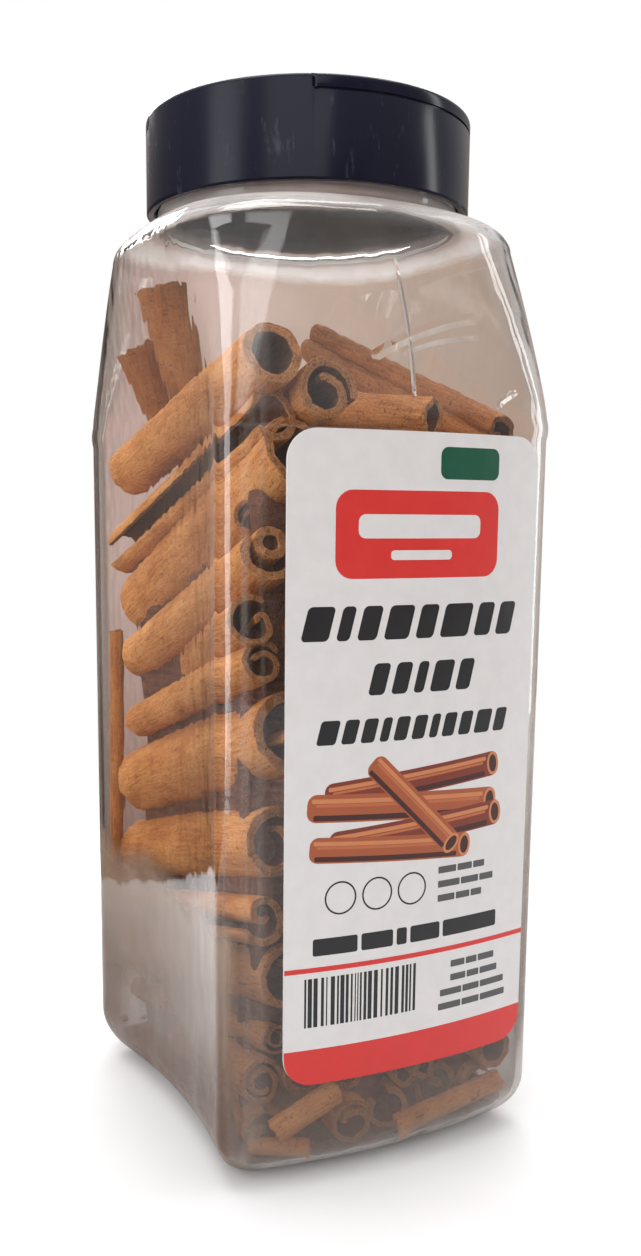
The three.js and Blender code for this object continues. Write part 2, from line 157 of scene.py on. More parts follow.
# The rolls of bark, each as arcs from its outer edge to its inner one: the share of the stick's
# radius that the arc starts and ends with, and its sweep in degrees.
ROLLS = {
    "lap": ((1.0, 1.0, 235), (0.95, 0.70, 60), (0.70, 0.66, 190)),
    "curl": ((1.0, 1.0, 235), (1.0, 0.50, 30), (0.50, 0.42, 220)),
    "spiral": ((1.0, 0.94, 180), (0.94, 0.66, 200), (0.66, 0.36, 300)),
    "open": ((1.0, 1.0, 262), (0.80, 0.50, 60)),
    "butt": ((1.0, 1.0, 352),),
    "loop": ((1.0, 1.0, 285), (1.0, 0.52, 25), (0.52, 0.50, 330)),
    "hook": ((1.0, 1.0, 245), (0.55, 0.55, 75), (2.0, 2.0, 12), (0.20, 0.20, 190)),
    "trough": ((1.0, 1.0, 190),),
}
# The bark's thickness as a share of a stick's radius.
BARK_SHARES = {
    "lap": 0.27, "curl": 0.30, "spiral": 0.22, "open": 0.32, "butt": 0.36, "loop": 0.29,
    "hook": 0.27, "trough": 0.34, DOUBLE: 0.27,
}
LOOSE_KINDS = ("lap", "curl", DOUBLE, "spiral", "open", "butt")

# How densely bark powder clings to the inside of the wall's foot.
DUST = 0.40

# The pale sheet under the jar: its size, where it fades from sight and from sight through the jar, and
# the line at which it ends, by the line's distance and the turn of its inward side from +X.
FLOOR_RADIUS = 700.0
FADE = (100, 340)
NEAR = (45, 85)
SHEET_REACH = 186.0
SHEET_TURN = -63 * DEGREE

# The camera: place, aim and lens, worked out from the jar's own edges.
CAMERA_PLACE = (-124.73, -240.56, 129.88)
CAMERA_YAW = 26.65 * DEGREE
CAMERA_PITCH = 8.8 * DEGREE
CAMERA_ROLL = 0.38 * DEGREE
CAMERA_LENS = 35.19
CAMERA_SHIFT = (0.0269, 0.0643)


def link(obj):
    bpy.context.scene.collection.objects.link(obj)
    return obj


# ---------------------------------------------------------------------------------------- camera


def make_camera():
    data = bpy.data.cameras.new("camera")
    data.sensor_width = 36.0
    data.lens = CAMERA_LENS
    data.shift_x, data.shift_y = CAMERA_SHIFT
    data.clip_start = 0.01
    camera = link(bpy.data.objects.new("camera", data))
    forward = Vector((
        math.sin(CAMERA_YAW) * math.cos(CAMERA_PITCH),
        math.cos(CAMERA_YAW) * math.cos(CAMERA_PITCH),
        -math.sin(CAMERA_PITCH),
    ))
    level = Vector((math.cos(CAMERA_YAW), -math.sin(CAMERA_YAW), 0))
    upright = level.cross(forward)
    right = level * math.cos(CAMERA_ROLL) + upright * math.sin(CAMERA_ROLL)
    up = upright * math.cos(CAMERA_ROLL) - level * math.sin(CAMERA_ROLL)
    turn = Matrix((right, up, -forward)).transposed().to_4x4()
    camera.matrix_world = Matrix.Translation(Vector(CAMERA_PLACE) * MM) @ turn
    bpy.context.scene.camera = camera


# ------------------------------------------------------------------------------------- materials


class Nodes:
    """Short words for building the nodes of one material or world."""

    def __init__(self, owner, shader="Principled BSDF", output="Material Output"):
        owner.use_nodes = True
        self.owner = owner
        self.tree = owner.node_tree
        self.shader = self.tree.nodes[shader]
        self.output = self.tree.nodes[output]

    def add(self, kind, **settings):
        node = self.tree.nodes.new("ShaderNode" + kind)
        for key, value in settings.items():
            setattr(node, key, value)
        return node

    def put(self, socket, value):
        """Sets a number or a colour on a socket, or links an output to it."""
        if isinstance(value, (int, float)):
            socket.default_value = value
        elif isinstance(value, tuple):
            socket.default_value = (*value, 1.0)
        else:
            self.tree.links.new(value, socket)

    def set(self, **values):
        """Constant values straight on the shader's sockets: base_color=..., roughness=..."""
        for key, value in values.items():
            self.feed(key.replace("_", " ").title().replace("Ior", "IOR"), value)

    def feed(self, socket, value):
        self.put(self.shader.inputs[socket], value)

    def place(self):
        """Object coordinates, in metres."""
        return self.add("TexCoord").outputs["Object"]

    def split(self, vector):
        """The x, y and z of a vector."""
        node = self.add("SeparateXYZ")
        self.put(node.inputs[0], vector)
        return tuple(node.outputs)

    def attribute(self, name, output):
        return self.add("Attribute", attribute_name=name).outputs[output]

    def measure(self, operation, vector, other=(0, 0, 0)):
        """One number from a vector: its LENGTH, or its DOT_PRODUCT with another."""
        node = self.add("VectorMath", operation=operation)
        self.put(node.inputs[0], vector)
        node.inputs[1].default_value = other
        return node.outputs["Value"]

    def scaled(self, vector, scale):
        node = self.add("Mapping")
        self.put(node.inputs["Vector"], vector)
        node.inputs["Scale"].default_value = scale
        return node.outputs["Vector"]

    def noise(self, vector, scale, detail=3.0, roughness=0.55):
        node = self.add("TexNoise")
        self.put(node.inputs["Vector"], vector)
        for name, value in (("Scale", scale), ("Detail", detail), ("Roughness", roughness)):
            self.put(node.inputs[name], value)
        return node.outputs["Fac"]

    def ramp(self, value, *stops):
        """A colour ramp of (place, colour or grey) stops."""
        node = self.add("ValToRGB")
        self.put(node.inputs["Fac"], value)
        band = node.color_ramp.elements
        while len(band) < len(stops):
            band.new(0.5)
        for element, (place, colour) in zip(band, stops):
            element.position = place
            element.color = (*colour, 1) if isinstance(colour, tuple) else (colour, colour, colour, 1)
        return node.outputs["Color"]

    def fade(self, place, start, end, low, high):
        """From low to high between two places, which are told in millimetres."""
        return self.range(place, start * MM, end * MM, low, high)

    def range(self, value, from_low, from_high, low, high):
        node = self.add("MapRange")
        names = ("Value", "From Min", "From Max", "To Min", "To Max")
        for name, number in zip(names, (value, from_low, from_high, low, high)):
            self.put(node.inputs[name], number)
        return node.outputs["Result"]

    def mix(self, share, one, other, blend="MIX"):
        """Two colours mixed."""
        node = self.add("Mix", data_type="RGBA", blend_type=blend)
        for socket, value in ((0, share), (6, one), (7, other)):
            self.put(node.inputs[socket], value)
        return node.outputs[2]

    def either(self, share, one, other):
        """Two shaders mixed."""
        node = self.add("MixShader")
        for socket, value in zip(node.inputs, (share, one, other)):
            self.put(socket, value)
        return node.outputs[0]

    def maths(self, operation, *values):
        node = self.add("Math", operation=operation)
        for socket, value in zip(node.inputs, values):
            self.put(socket, value)
        return node.outputs[0]

    def product(self, first, *others):
        for other in others:
            first = self.maths("MULTIPLY", first, other)
        return first

    def bump(self, height, strength, distance, after=None):
        """Relief on top of the relief after, its full height told in millimetres."""
        node = self.add("Bump")
        for name, value in (("Strength", strength), ("Distance", distance * MM), ("Height", height)):
            self.put(node.inputs[name], value)
        if after is not None:
            self.put(node.inputs["Normal"], after)
        return node.outputs["Normal"]

    def finish(self, surface):
        """Ends in another shader than the first one."""
        self.put(self.output.inputs["Surface"], surface)
        return self.owner


def new_material(name):
    return Nodes(bpy.data.materials.new(name))


# Creases pressed into the front of the shoulder: both ends as x and z, the bow between, and width.
CREASES = (
    ((-7.6, 159.0), (16.8, 168.0), 1.2, 1.1),
    ((-1.5, 160.2), (17.0, 164.6), 0.9, 0.9),
    ((-1.2, 178.0), (0.2, 150.0), 1.3, 0.5),
    ((20.0, 151.6), (25.5, 154.6), 0.3, 0.8),
)


def creases(n, place):
    """The height of the creases over the jar's front, from 0 to 1."""
    front = n.fade(n.split(place)[1], -31, -30, 1.0, 0.0)
    total = 0.0
    for start, end, bow, width in CREASES:
        start, end = Vector(start) * MM, Vector(end) * MM
        length = (end - start).length
        way = (end - start) / length

        def measured(direction):
            reach = n.measure("DOT_PRODUCT", place, (direction.x, 0, direction.y))
            return n.maths("SUBTRACT", reach, start.dot(direction))

        share = n.maths("DIVIDE", measured(way), length)
        across = measured(Vector((-way.y, way.x)))
        rise = n.product(share, n.maths("SUBTRACT", 1.0, share), 4 * bow * MM)
        off = n.maths("ABSOLUTE", n.maths("SUBTRACT", across, rise))
        line = n.fade(off, 0, width, 1.0, 0.0)
        ends = n.product(n.range(share, 0.0, 0.2, 0.0, 1.0), n.range(share, 0.8, 1.0, 1.0, 0.0))
        total = n.maths("MAXIMUM", total, n.product(line, ends))
    return n.product(total, front)


def clear_wall(name, creased):
    """Blow-moulded clear plastic: glossy, faintly wavy, with faint wiped streaks.

    Gives its nodes, the place on it and its surface, on which films can lie.
    """
    n = new_material(name)
    n.set(base_color=(0.985, 0.98, 0.97), ior=1.5, transmission_weight=1.0)
    place = n.place()
    waves = n.noise(n.scaled(place, (1, 1, 0.35)), 55, 1.0)
    dents = n.noise(n.scaled(place, (1, 1, 0.6)), 95, 2.0)
    streaks = n.noise(n.scaled(place, (1, 1, 0.02)), 420, 2.0)
    n.feed("Roughness", n.range(streaks, 0.45, 0.75, 0.012, 0.035))
    normal = n.bump(waves, 0.22, 0.6, n.bump(dents, 0.28, 0.8))
    if creased:
        normal = n.bump(creases(n, place), 0.6, 0.5, normal)
    n.feed("Normal", n.bump(streaks, 0.012, 0.05, normal))
    # Lamps shine through the wall as they do through a thin clear skin.
    through = n.add("BsdfTransparent")
    n.put(through.inputs["Color"], (0.93, 0.93, 0.92))
    shadow = n.add("LightPath").outputs["Is Shadow Ray"]
    return n, place, n.either(shadow, n.shader.outputs[0], through.outputs[0])


def side_shares(n, x, y):
    """How far a point is on the left, on the right, and on a side panel between the corners."""
    return n.fade(x, -31, -27, 1.0, 0.0), n.fade(x, 27, 31, 0.0, 1.0), n.fade(y, -38.2, -36.4, 0.0, 1.0)


def coated(n, surface, share, colour, glow=0.0):
    """The surface under a film. The share glow of the film lets light shine through."""
    film = n.add("BsdfDiffuse")
    back = n.add("BsdfTranslucent")
    for kind in (film, back):
        n.put(kind.inputs["Color"], colour)
    return n.either(share, surface, n.either(glow, film.outputs[0], back.outputs[0]))


def outer_plastic():
    """The wall's outside: soiled at the foot, with a painted highlight in the fold at the neck's foot and a
    painted sheen in pale streaks down the corners.
    """
    n, place, surface = clear_wall("clear_plastic", True)
    x, y, height = n.split(place)
    left, right, panels = side_shares(n, x, y)
    sides = n.maths("ADD", left, right)
    # A pale, partly translucent film in the fold at the neck's foot is a painted highlight: it stands in
    # for the bright arcs of light on the front and back of the neck.
    fold = n.fade(height, 186.0, 187.8, 0.0, 0.76)
    rim = n.fade(height, 189.2, 191.2, 1.0, 0.55)
    patchy = n.range(n.noise(place, 70, 3.0), 0.3, 0.65, 0.6, 1.0)
    surface = coated(n, surface, n.product(fold, rim, patchy), (0.90, 0.87, 0.85), 0.6)
    soiled = n.range(n.noise(place, 90, 4.0, 0.6), 0.3, 0.7, 0.5, 1.0)
    low = n.fade(height, 3, 52, 0.66, 0.0)
    most = n.range(n.product(sides, panels), 0.0, 1.0, 0.18, 1.0)
    surface = coated(n, surface, n.product(low, soiled, most), (0.135, 0.075, 0.048))
    # Pale streaks down the corners are a painted sheen, put in place of soft highlights there.
    front = n.fade(y, -34, -29, 1.0, 0.0)
    rear = n.fade(y, 29, 34, 0.0, 1.0)
    corner = n.product(sides, n.maths("ADD", front, rear))
    marks = n.range(n.noise(n.scaled(place, (1, 1, 0.03)), 330, 2.0), 0.45, 0.75, 0.0, 0.30)
    surface = coated(n, surface, n.product(corner, marks), (0.72, 0.62, 0.56), 0.4)
    return n.finish(surface)


def inner_plastic():
    """The wall's inside, to which bark powder clings, most of all at the foot. The lower side panels carry
    a painted reflection, strongest on the left.
    """
    n, place, surface = clear_wall("dusty_plastic", False)
    x, y, height = n.split(place)
    left, right, panels = side_shares(n, x, y)
    clouds = n.range(n.noise(place, 130, 5.0, 0.65), 0.30, 0.68, 0.35, 1.0)
    low = n.fade(height, 6, 34, 1.0, 0.0)
    haze = n.fade(height, 30, 150, 0.10, 0.0)
    dust = n.product(n.maths("ADD", low, haze), clouds, DUST)
    surface = coated(n, surface, dust, (0.23, 0.155, 0.120))
    # The lower third of the side panels, the left one most, carries a painted reflection: a pale film with
    # a sharp top edge, darker towards the foot.
    edge = n.maths("ADD", height, n.range(n.noise(place, 60, 3.0), 0.3, 0.7, -3 * MM, 3 * MM))
    wear_and_reflection_patches = n.range(n.noise(n.scaled(place, (1, 1, 2.5)), 45, 4.0), 0.35, 0.65, 0.84, 1.0)
    upper = n.product(n.fade(edge, 49, 56, 1.0, 0.0), n.fade(height, 15, 40, 0.60, 0.84))
    rising = n.fade(height, 12, 46, 0.0, 1.0)
    reflection_colour = n.ramp(rising, (0.0, (0.11, 0.060, 0.036)), (1.0, (0.33, 0.235, 0.175)))
    reflecting_sides = n.product(panels, n.maths("ADD", left, n.product(right, 0.3)))
    surface = coated(n, surface, n.product(reflecting_sides, upper, wear_and_reflection_patches), reflection_colour)
    return n.finish(surface)


def cap_plastic():
    """Near-black navy moulded plastic, with a faint moulding texture and scuffs from handling."""
    n = new_material("cap_plastic")
    n.set(ior=1.45, specular_ior_level=0.19)
    place = n.place()
    fine = n.noise(place, 900, 3.0)
    broad = n.noise(n.scaled(place, (1, 1, 0.3)), 60, 2.0)
    scuffs = n.noise(n.scaled(place, (1, 1, 0.25)), 330, 4.0, 0.7)
    wear_and_reflection_patches = n.range(scuffs, 0.60, 0.74, 0.0, 1.0)
    n.feed("Base Color", n.mix(wear_and_reflection_patches, (0.0062, 0.0070, 0.0175), (0.040, 0.042, 0.060)))
    smooth = n.range(broad, 0.35, 0.7, 0.16, 0.28)
    n.feed("Roughness", n.maths("ADD", smooth, n.product(wear_and_reflection_patches, 0.2)))
    n.feed("Normal", n.bump(broad, 0.1, 0.4, n.bump(fine, 0.1, 0.03)))
    return n.owner


def print_colour(name, colour, roughness=0.34):
    """One ink of the label on coated paper: very slight mottling and a satin sheen."""
    n = new_material(name)
    n.set(coat_weight=0.10, coat_roughness=0.2, specular_ior_level=0.3)
    place = n.place()
    mottle = n.noise(place, 260, 3.0)
    darker = tuple(0.955 * c for c in colour)
    n.feed("Base Color", n.ramp(mottle, (0.35, darker), (0.65, colour)))
    n.feed("Roughness", n.range(mottle, 0.3, 0.7, roughness - 0.04, roughness + 0.05))
    n.feed("Normal", n.bump(n.noise(place, 60, 1.0), 0.12, 0.4))
    return n.owner


def bark(name, dark, middle, light, relief, fibre):
    """Cinnamon bark: fibres along the stick, mottling, grit and specks, and a tint of its own, which on the
    sticks near the foot is partly painted shade.
    """
    n = new_material(name)
    n.set(ior=1.4, specular_ior_level=0.2)
    grain = n.attribute("grain", "Vector")
    tone_and_shade = n.attribute("tone_and_shade", "Fac")
    place = n.place()
    fibres = n.noise(n.scaled(grain, (2.6, 0.16, 1)), 1.0, 5.0, 0.65)
    mottle = n.noise(n.scaled(grain, (0.20, 0.07, 1)), 1.0, 3.0, 0.5)
    grit = n.noise(place, 3000, 3.0, 0.7)
    fine = n.noise(place, 1300, 2.0)
    grainy = n.maths("ADD", n.product(fibres, fibre), n.product(grit, 0.7 - fibre))
    streak = n.maths("ADD", grainy, n.product(mottle, 0.3))
    colour = n.ramp(streak, (0.36, dark), (0.47, middle), (0.59, light))
    specks = n.range(fine, 0.33, 0.40, 0.55, 1.0)
    colour = n.mix(1.0, colour, specks, "MULTIPLY")
    # The tint darkens and reddens a stick: its own tone, and painted shade on the sticks low in the heap.
    shade = n.ramp(tone_and_shade, (0.0, (0.36, 0.25, 0.22)), (0.5, (0.80, 0.74, 0.70)), (1.0, 1.0))
    n.feed("Base Color", n.mix(1.0, colour, shade, "MULTIPLY"))
    n.feed("Roughness", n.range(fibres, 0.3, 0.7, 0.74, 0.94))
    long_relief = n.bump(fibres, 0.6 * relief, 0.4)
    speck_relief = n.bump(fine, 0.8 * relief, 0.3, long_relief)
    n.feed("Normal", n.bump(grit, 0.7 * relief, 0.15, speck_relief))
    return n.owner


# The label's inks, and the barks: their dark, middle and light colours, relief and share of fibre.
INKS = {
    "white": (0.62, 0.605, 0.60), "red": (0.56, 0.030, 0.026), "green": (0.004, 0.075, 0.042),
    "black": (0.012, 0.012, 0.014), "grey": (0.075, 0.073, 0.075), "orange": (0.50, 0.185, 0.075),
    "rust": (0.42, 0.12, 0.045), "tan": (0.32, 0.080, 0.030), "brown": (0.17, 0.030, 0.016),
    "dark": (0.045, 0.012, 0.010),
}
BARKS = {
    "bark": ((0.25, 0.075, 0.021), (0.60, 0.232, 0.066), (0.82, 0.41, 0.15), 1.0, 0.35),
    "bark_inside": ((0.060, 0.024, 0.018), (0.135, 0.058, 0.040), (0.24, 0.11, 0.07), 0.8, 0.35),
    "bark_cut": ((0.24, 0.080, 0.028), (0.60, 0.245, 0.085), (0.78, 0.38, 0.16), 2.2, 0.05),
    "bark_crumbs": ((0.09, 0.045, 0.028), (0.20, 0.105, 0.065), (0.36, 0.21, 0.125), 1.6, 0.05),
}


def make_materials():
    materials = {
        "outer": outer_plastic(),
        "inner": inner_plastic(),
        "cap": cap_plastic(),
        "liner": print_colour("cap_liner", (0.88, 0.80, 0.77), 0.6),
    }
    for name, colour in INKS.items():
        materials[name] = print_colour("label_" + name, colour)
    for name, look in BARKS.items():
        materials[name] = bark(name, *look)
    return materials


# -------------------------------------------------------------------------------------- mesh help


def mesh_object(name, points, faces, materials, face_materials=None, sharp_angle=None):
    """A mesh object from points in millimetres."""
    mesh = bpy.data.meshes.new(name)
    mesh.from_pydata((np.asarray(points, float) * MM).tolist(), [], faces)
    for material in materials:
        mesh.materials.append(material)
    if face_materials is not None:
        mesh.polygons.foreach_set("material_index", face_materials)
    mesh.polygons.foreach_set("use_smooth", [True] * len(mesh.polygons))
    mesh.update()
    obj = link(bpy.data.objects.new(name, mesh))
    if sharp_angle is not None:
        mark_sharp(mesh, sharp_angle)
    return obj


def mark_sharp(mesh, angle):
    """Smooth faces, with creases where two meet at more than angle."""
    work = bmesh.new()
    work.from_mesh(mesh)
    for edge in work.edges:
        turn = edge.calc_face_angle(0.0) if len(edge.link_faces) == 2 else 0.0
        edge.smooth = turn < angle
    for face in work.faces:
        face.smooth = True
    work.to_mesh(mesh)
    work.free()


def at_height(points, z):
    """Points with one more coordinate, z, the same for all."""
    return np.column_stack([points, np.full(len(points), z)])


def turn_points(points, angle):
    """Points of a plane, turned about its origin."""
    c, s = math.cos(angle), math.sin(angle)
    return points @ np.array([[c, s], [-s, c]])


def on_circle(turns):
    """Points of a circle of radius 1, at the given turns."""
    return np.column_stack([np.cos(turns), np.sin(turns)])


def circle(segments):
    return on_circle(np.arange(segments) / segments * 2 * math.pi)


def adopt(obj, slot, *replaced):
    """Makes obj a piece of the root body, in place of CAD nodes, which it hides. The slot is not used."""
    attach(obj, "root")
    if replaced:
        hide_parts(*replaced)


# -------------------------------------------------------------------------------------------- jar

ARC_STEPS = 9
FACE_STEPS = 28


def outline(half_width, half_depth, corner_radius, curve):
    """A closed outline with round corners, crowned and bowed by the share curve, from above."""
    points = []
    corners = ((1, -1), (1, 1), (-1, 1), (-1, -1))
    for i, (sx, sy) in enumerate(corners):
        centre_x = sx * (half_width - corner_radius)
        centre_y = sy * (half_depth - corner_radius)
        for k in range(ARC_STEPS + 1):
            angle = (i - 1 + k / ARC_STEPS) * 90 * DEGREE
            points.append((
                centre_x + corner_radius * math.cos(angle),
                centre_y + corner_radius * math.sin(angle),
            ))
        last_x, last_y = points[-1]
        next_x, next_y = corners[(i + 1) % 4]
        on_side = i % 2 == 0
        end_x = last_x if on_side else next_x * (half_width - corner_radius)
        end_y = next_y * (half_depth - corner_radius) if on_side else last_y
        for k in range(1, FACE_STEPS):
            share = k / FACE_STEPS
            points.append((last_x + (end_x - last_x) * share, last_y + (end_y - last_y) * share))
    x, y = np.array(points).T
    crown = curve * FRONT_CROWN * (1 - (x / half_width) ** 2) * (y / half_depth) ** 4
    bow = curve * SIDE_BOW * (1 - (y / half_depth) ** 2) * (x / half_width) ** 4
    return np.stack([x - np.sign(x) * bow, y + np.sign(y) * crown], 1)


def ring(points, z, inset):
    """An outline at height z, drawn in by inset."""
    scale = np.array([(HALF_WIDTH - inset) / HALF_WIDTH, (HALF_DEPTH - inset) / HALF_DEPTH])
    return at_height(points * scale, z)


BODY = outline(HALF_WIDTH, HALF_DEPTH, CORNER_RADIUS, 1)


def wall_rings(inset):
    """Heel, panel, ridge, shoulder and neck of one face of the wall, from the bottom up."""
    rings = []
    heel_radius = HEEL_RADIUS - inset
    for angle in np.linspace(90, 0, 13) * DEGREE:
        draw = HEEL_RADIUS - heel_radius * math.cos(angle)
        rings.append(ring(BODY, HEEL_RADIUS - heel_radius * math.sin(angle), draw))
    for z in np.linspace(HEEL_RADIUS, PANEL_TOP, 12)[1:]:
        rings.append(ring(BODY, z, inset))
    # The bead round the top of the panel rises and falls as half a wave.
    for share in np.linspace(0, 1, 8)[1:-1]:
        rise = RIDGE_HEIGHT * math.sin(share * math.pi)
        rings.append(ring(BODY, PANEL_TOP + RIDGE_WIDTH * share, inset - rise))
    start = PANEL_TOP + RIDGE_WIDTH
    for share in np.linspace(0, 1, 22):
        section = outline(
            HALF_WIDTH + (SHOULDER_REACH - HALF_WIDTH) * share,
            HALF_DEPTH + (SHOULDER_REACH - HALF_DEPTH) * share,
            CORNER_RADIUS + (SHOULDER_CORNER - CORNER_RADIUS) * share ** 1.25,
            (1 - share) ** 1.7,
        )
        rings.append(ring(section, start + (SHOULDER_TOP - start) * share, inset))
    # The roll from the shoulder to the neck is a quarter of an ellipse.
    flat = rings[-1][:, :2]
    neck = flat / np.linalg.norm(flat, axis=1)[:, None] * (NECK_RADIUS - inset)
    rise = NECK_BASE - inset - SHOULDER_TOP
    for angle in np.linspace(0, 90, 16)[1:] * DEGREE:
        rolled = flat + (neck - flat) * (1 - math.cos(angle))
        rings.append(at_height(rolled, SHOULDER_TOP + rise * math.sin(angle)))
    # A round bead runs round the foot of the neck, outside only.
    foot = rings[-1][0, 2]
    for share in np.linspace(0, 1, 12)[1:] if inset == 0 else ():
        swell = 1 + (BEAD_RADIUS / NECK_RADIUS - 1) * math.sin(share * math.pi) ** 0.6
        rings.append(at_height(neck * swell, foot + BEAD_HEIGHT * share))
    for z in np.linspace(rings[-1][0, 2] + 0.6, NECK_TOP, 8):
        rings.append(at_height(neck, z))
    return rings


def skin(rings, first_centre, last_centre):
    """Points and faces of a closed surface through rings, with a fan at each end."""
    count = len(rings[0])
    points = np.vstack([[first_centre], *rings, [last_centre]])
    last = len(points) - 1
    faces = []
    for row in range(len(rings)):
        for i in range(count):
            near = 1 + row * count + i
            beside = 1 + row * count + (i + 1) % count
            if row == 0:
                faces.append((0, beside, near))
            if row == len(rings) - 1:
                faces.append((last, near, beside))
            else:
                faces.append((near, beside, beside + count, near + count))
    return points, faces


def make_jar(materials):
    standing = HEEL_RADIUS + STANDING_RING

    def base(z):
        """The base from its middle outwards. The push-up rises smoothly from the standing ring."""
        rings = []
        for share in np.linspace(1, 0, 6)[:-1]:
            rings.append(ring(BODY, z + PUSH_UP, standing + PUSH_UP_SLOPE + PUSH_UP_FLAT * share))
        for share in (0.75, 0.5, 0.25):
            lift = PUSH_UP * (3 * share ** 2 - 2 * share ** 3)
            rings.append(ring(BODY, z + lift, standing + PUSH_UP_SLOPE * share))
        return rings + [ring(BODY, z, standing)]

    outside = base(0) + wall_rings(0)
    inside = (base(WALL) + wall_rings(WALL))[::-1]
    points, faces = skin(outside + inside, (0, 0, PUSH_UP), (0, 0, PUSH_UP + WALL))
    first_inside = 1 + len(outside) * len(outside[0])
    kinds = [int(min(face) >= first_inside) for face in faces]
    faced = [materials["outer"], materials["inner"]]
    jar = mesh_object("jar_wall", points, faces, faced, kinds, 50 * DEGREE)
    adopt(jar, "clear_plastic", "jar")


# -------------------------------------------------------------------------------------------- cap


def turned(name, profile, segments, materials):
    """A solid of revolution about z from (radius, z) points that start and end on the axis."""
    rings = [at_height(radius * circle(segments), z) for radius, z in profile[1:-1]]
    points, faces = skin(rings, (0, 0, profile[0][1]), (0, 0, profile[-1][1]))
    return mesh_object(name, points, faces, materials)


BOX = np.array([(x, y, z) for z in (-1, 1) for x, y in ((-1, -1), (1, -1), (1, 1), (-1, 1))], float)
BOX_FACES = [(3, 2, 1, 0), (4, 5, 6, 7), (0, 1, 5, 4), (1, 2, 6, 5), (2, 3, 7, 6), (3, 0, 4, 7)]


def block(name, size, centre):
    """A box, as a cutter."""
    return mesh_object(name, BOX * np.array(size) / 2 + np.array(centre), BOX_FACES, [])


def seam_cutter(side):
    """A band that bites into the skirt under a flap's rim."""
    half = math.asin(FLAP_HALF_WIDTH / CAP_RADIUS)
    turns = np.linspace(-half, half, 60) + (-90 if side > 0 else 90) * DEGREE
    low = CAP_TOP - FLAP_THICKNESS - SEAM_WIDTH
    rings = []
    for turn in turns:
        corners = (
            (CAP_RADIUS - SEAM_DEPTH, low), (CAP_RADIUS + 1, low),
            (CAP_RADIUS + 1, low + SEAM_WIDTH), (CAP_RADIUS - SEAM_DEPTH, low + SEAM_WIDTH),
        )
        rings.append(np.array([(r * math.cos(turn), r * math.sin(turn), z) for r, z in corners]))
    points, faces = skin(rings, rings[0].mean(0), rings[-1].mean(0))
    return mesh_object("seam", points, [face[::-1] for face in faces], [])


def flap_cutters(side):
    """One flap's two slits, their ends down the skirt, its hinge line and its seam."""
    length = CAP_RADIUS + 1 - FLAP_HINGE
    middle = -side * (FLAP_HINGE + length / 2)
    rim = math.sqrt(CAP_RADIUS ** 2 - FLAP_HALF_WIDTH ** 2)
    depth = 2 * (SEAM_DEPTH + 1)
    top = CAP_TOP + 1 - SEAM_DEPTH / 2
    cutters = [seam_cutter(side)]
    for edge in (-1, 1):
        x = edge * FLAP_HALF_WIDTH
        cutters.append(block("slit", (SEAM_WIDTH, length, depth), (x, middle, top)))
        notch_z = CAP_TOP + (1 - FLAP_THICKNESS) / 2
        notch_y = -side * (rim + 1 - SEAM_DEPTH)
        cutters.append(block("notch", (SEAM_WIDTH, 2, FLAP_THICKNESS + 1), (x, notch_y, notch_z)))
    cutters.append(block("hinge", (2 * FLAP_HALF_WIDTH, SEAM_WIDTH, depth), (0, -side * FLAP_HINGE, top)))
    return cutters


def apply_modifiers(obj):
    """Gives obj the mesh that its modifiers make of it."""
    graph = bpy.context.evaluated_depsgraph_get()
    mesh = bpy.data.meshes.new_from_object(obj.evaluated_get(graph))
    obj.modifiers.clear()
    old = obj.data
    obj.data = mesh
    mesh.name = obj.name
    bpy.data.meshes.remove(old)


def cut(obj, cutters):
    """Cuts each of the cutters out of obj."""
    for cutter in cutters:
        modifier = obj.modifiers.new("cut", "BOOLEAN")
        modifier.operation = "DIFFERENCE"
        modifier.solver = "EXACT"
        modifier.object = cutter
    apply_modifiers(obj)
    for cutter in cutters:
        bpy.data.objects.remove(cutter)


def make_cap(materials):
    """The shut cap with its flaps' seams, and the liner under its top."""
    edge = [
        (CAP_RADIUS - CAP_EDGE_RADIUS * (1 - math.cos(a)), CAP_TOP - CAP_EDGE_RADIUS * (1 - math.sin(a)))
        for a in np.linspace(0, 90, 9) * DEGREE
    ]
    inside = NECK_TOP + GAP
    bore = CAP_RADIUS - CAP_SKIRT
    lip = CAP_BOTTOM + CAP_LIP
    profile = [
        (0, inside), (bore, inside), (bore, lip), (bore + CAP_LIP, CAP_BOTTOM),
        (CAP_RADIUS - CAP_LIP, CAP_BOTTOM), (CAP_RADIUS, lip), *edge, (0, CAP_TOP),
    ]
    cap = turned("cap_body", profile, 192, [materials["cap"]])
    cut(cap, flap_cutters(1) + flap_cutters(-1))
    cap.data.transform(Matrix.Rotation(FLAP_TURN, 4, "Z"))
    bevel = cap.modifiers.new("soft_edges", "BEVEL")
    bevel.width = CAP_SOFTNESS * MM
    bevel.segments = 2
    bevel.limit_method = "ANGLE"
    bevel.angle_limit = 50 * DEGREE
    apply_modifiers(cap)
    mark_sharp(cap.data, 35 * DEGREE)
    adopt(cap, "cap_plastic", "cap")
    # The pale liner under the cap's top, which shows through the shoulder.
    low, high = NECK_TOP + LINER_GAP, inside - LINER_GAP
    disc = [(0, low), (NECK_RADIUS, low), (NECK_RADIUS, high), (0, high)]
    adopt(turned("cap_liner", disc, 96, [materials["liner"]]), "cap_plastic")


# ------------------------------------------------------------------------------------------ label


def front_panel(x, lift):
    """y of the jar's front panel at x, lifted outwards by lift."""
    return -(HALF_DEPTH + FRONT_CROWN * (1 - (x / HALF_WIDTH) ** 2) + lift)


def rounded(left, right, bottom, top, radius, steps=6):
    """Points of a rectangle with round corners, anticlockwise."""
    points = []
    corners = ((right, bottom, -90), (right, top, 0), (left, top, 90), (left, bottom, 180))
    for x, z, start in corners:
        centre_x = x - math.copysign(radius, x - (left + right) / 2)
        centre_z = z - math.copysign(radius, z - (bottom + top) / 2)
        for k in range(steps + 1):
            angle = (start + 90 * k / steps) * DEGREE
            points.append((centre_x + radius * math.cos(angle), centre_z + radius * math.sin(angle)))
    return points


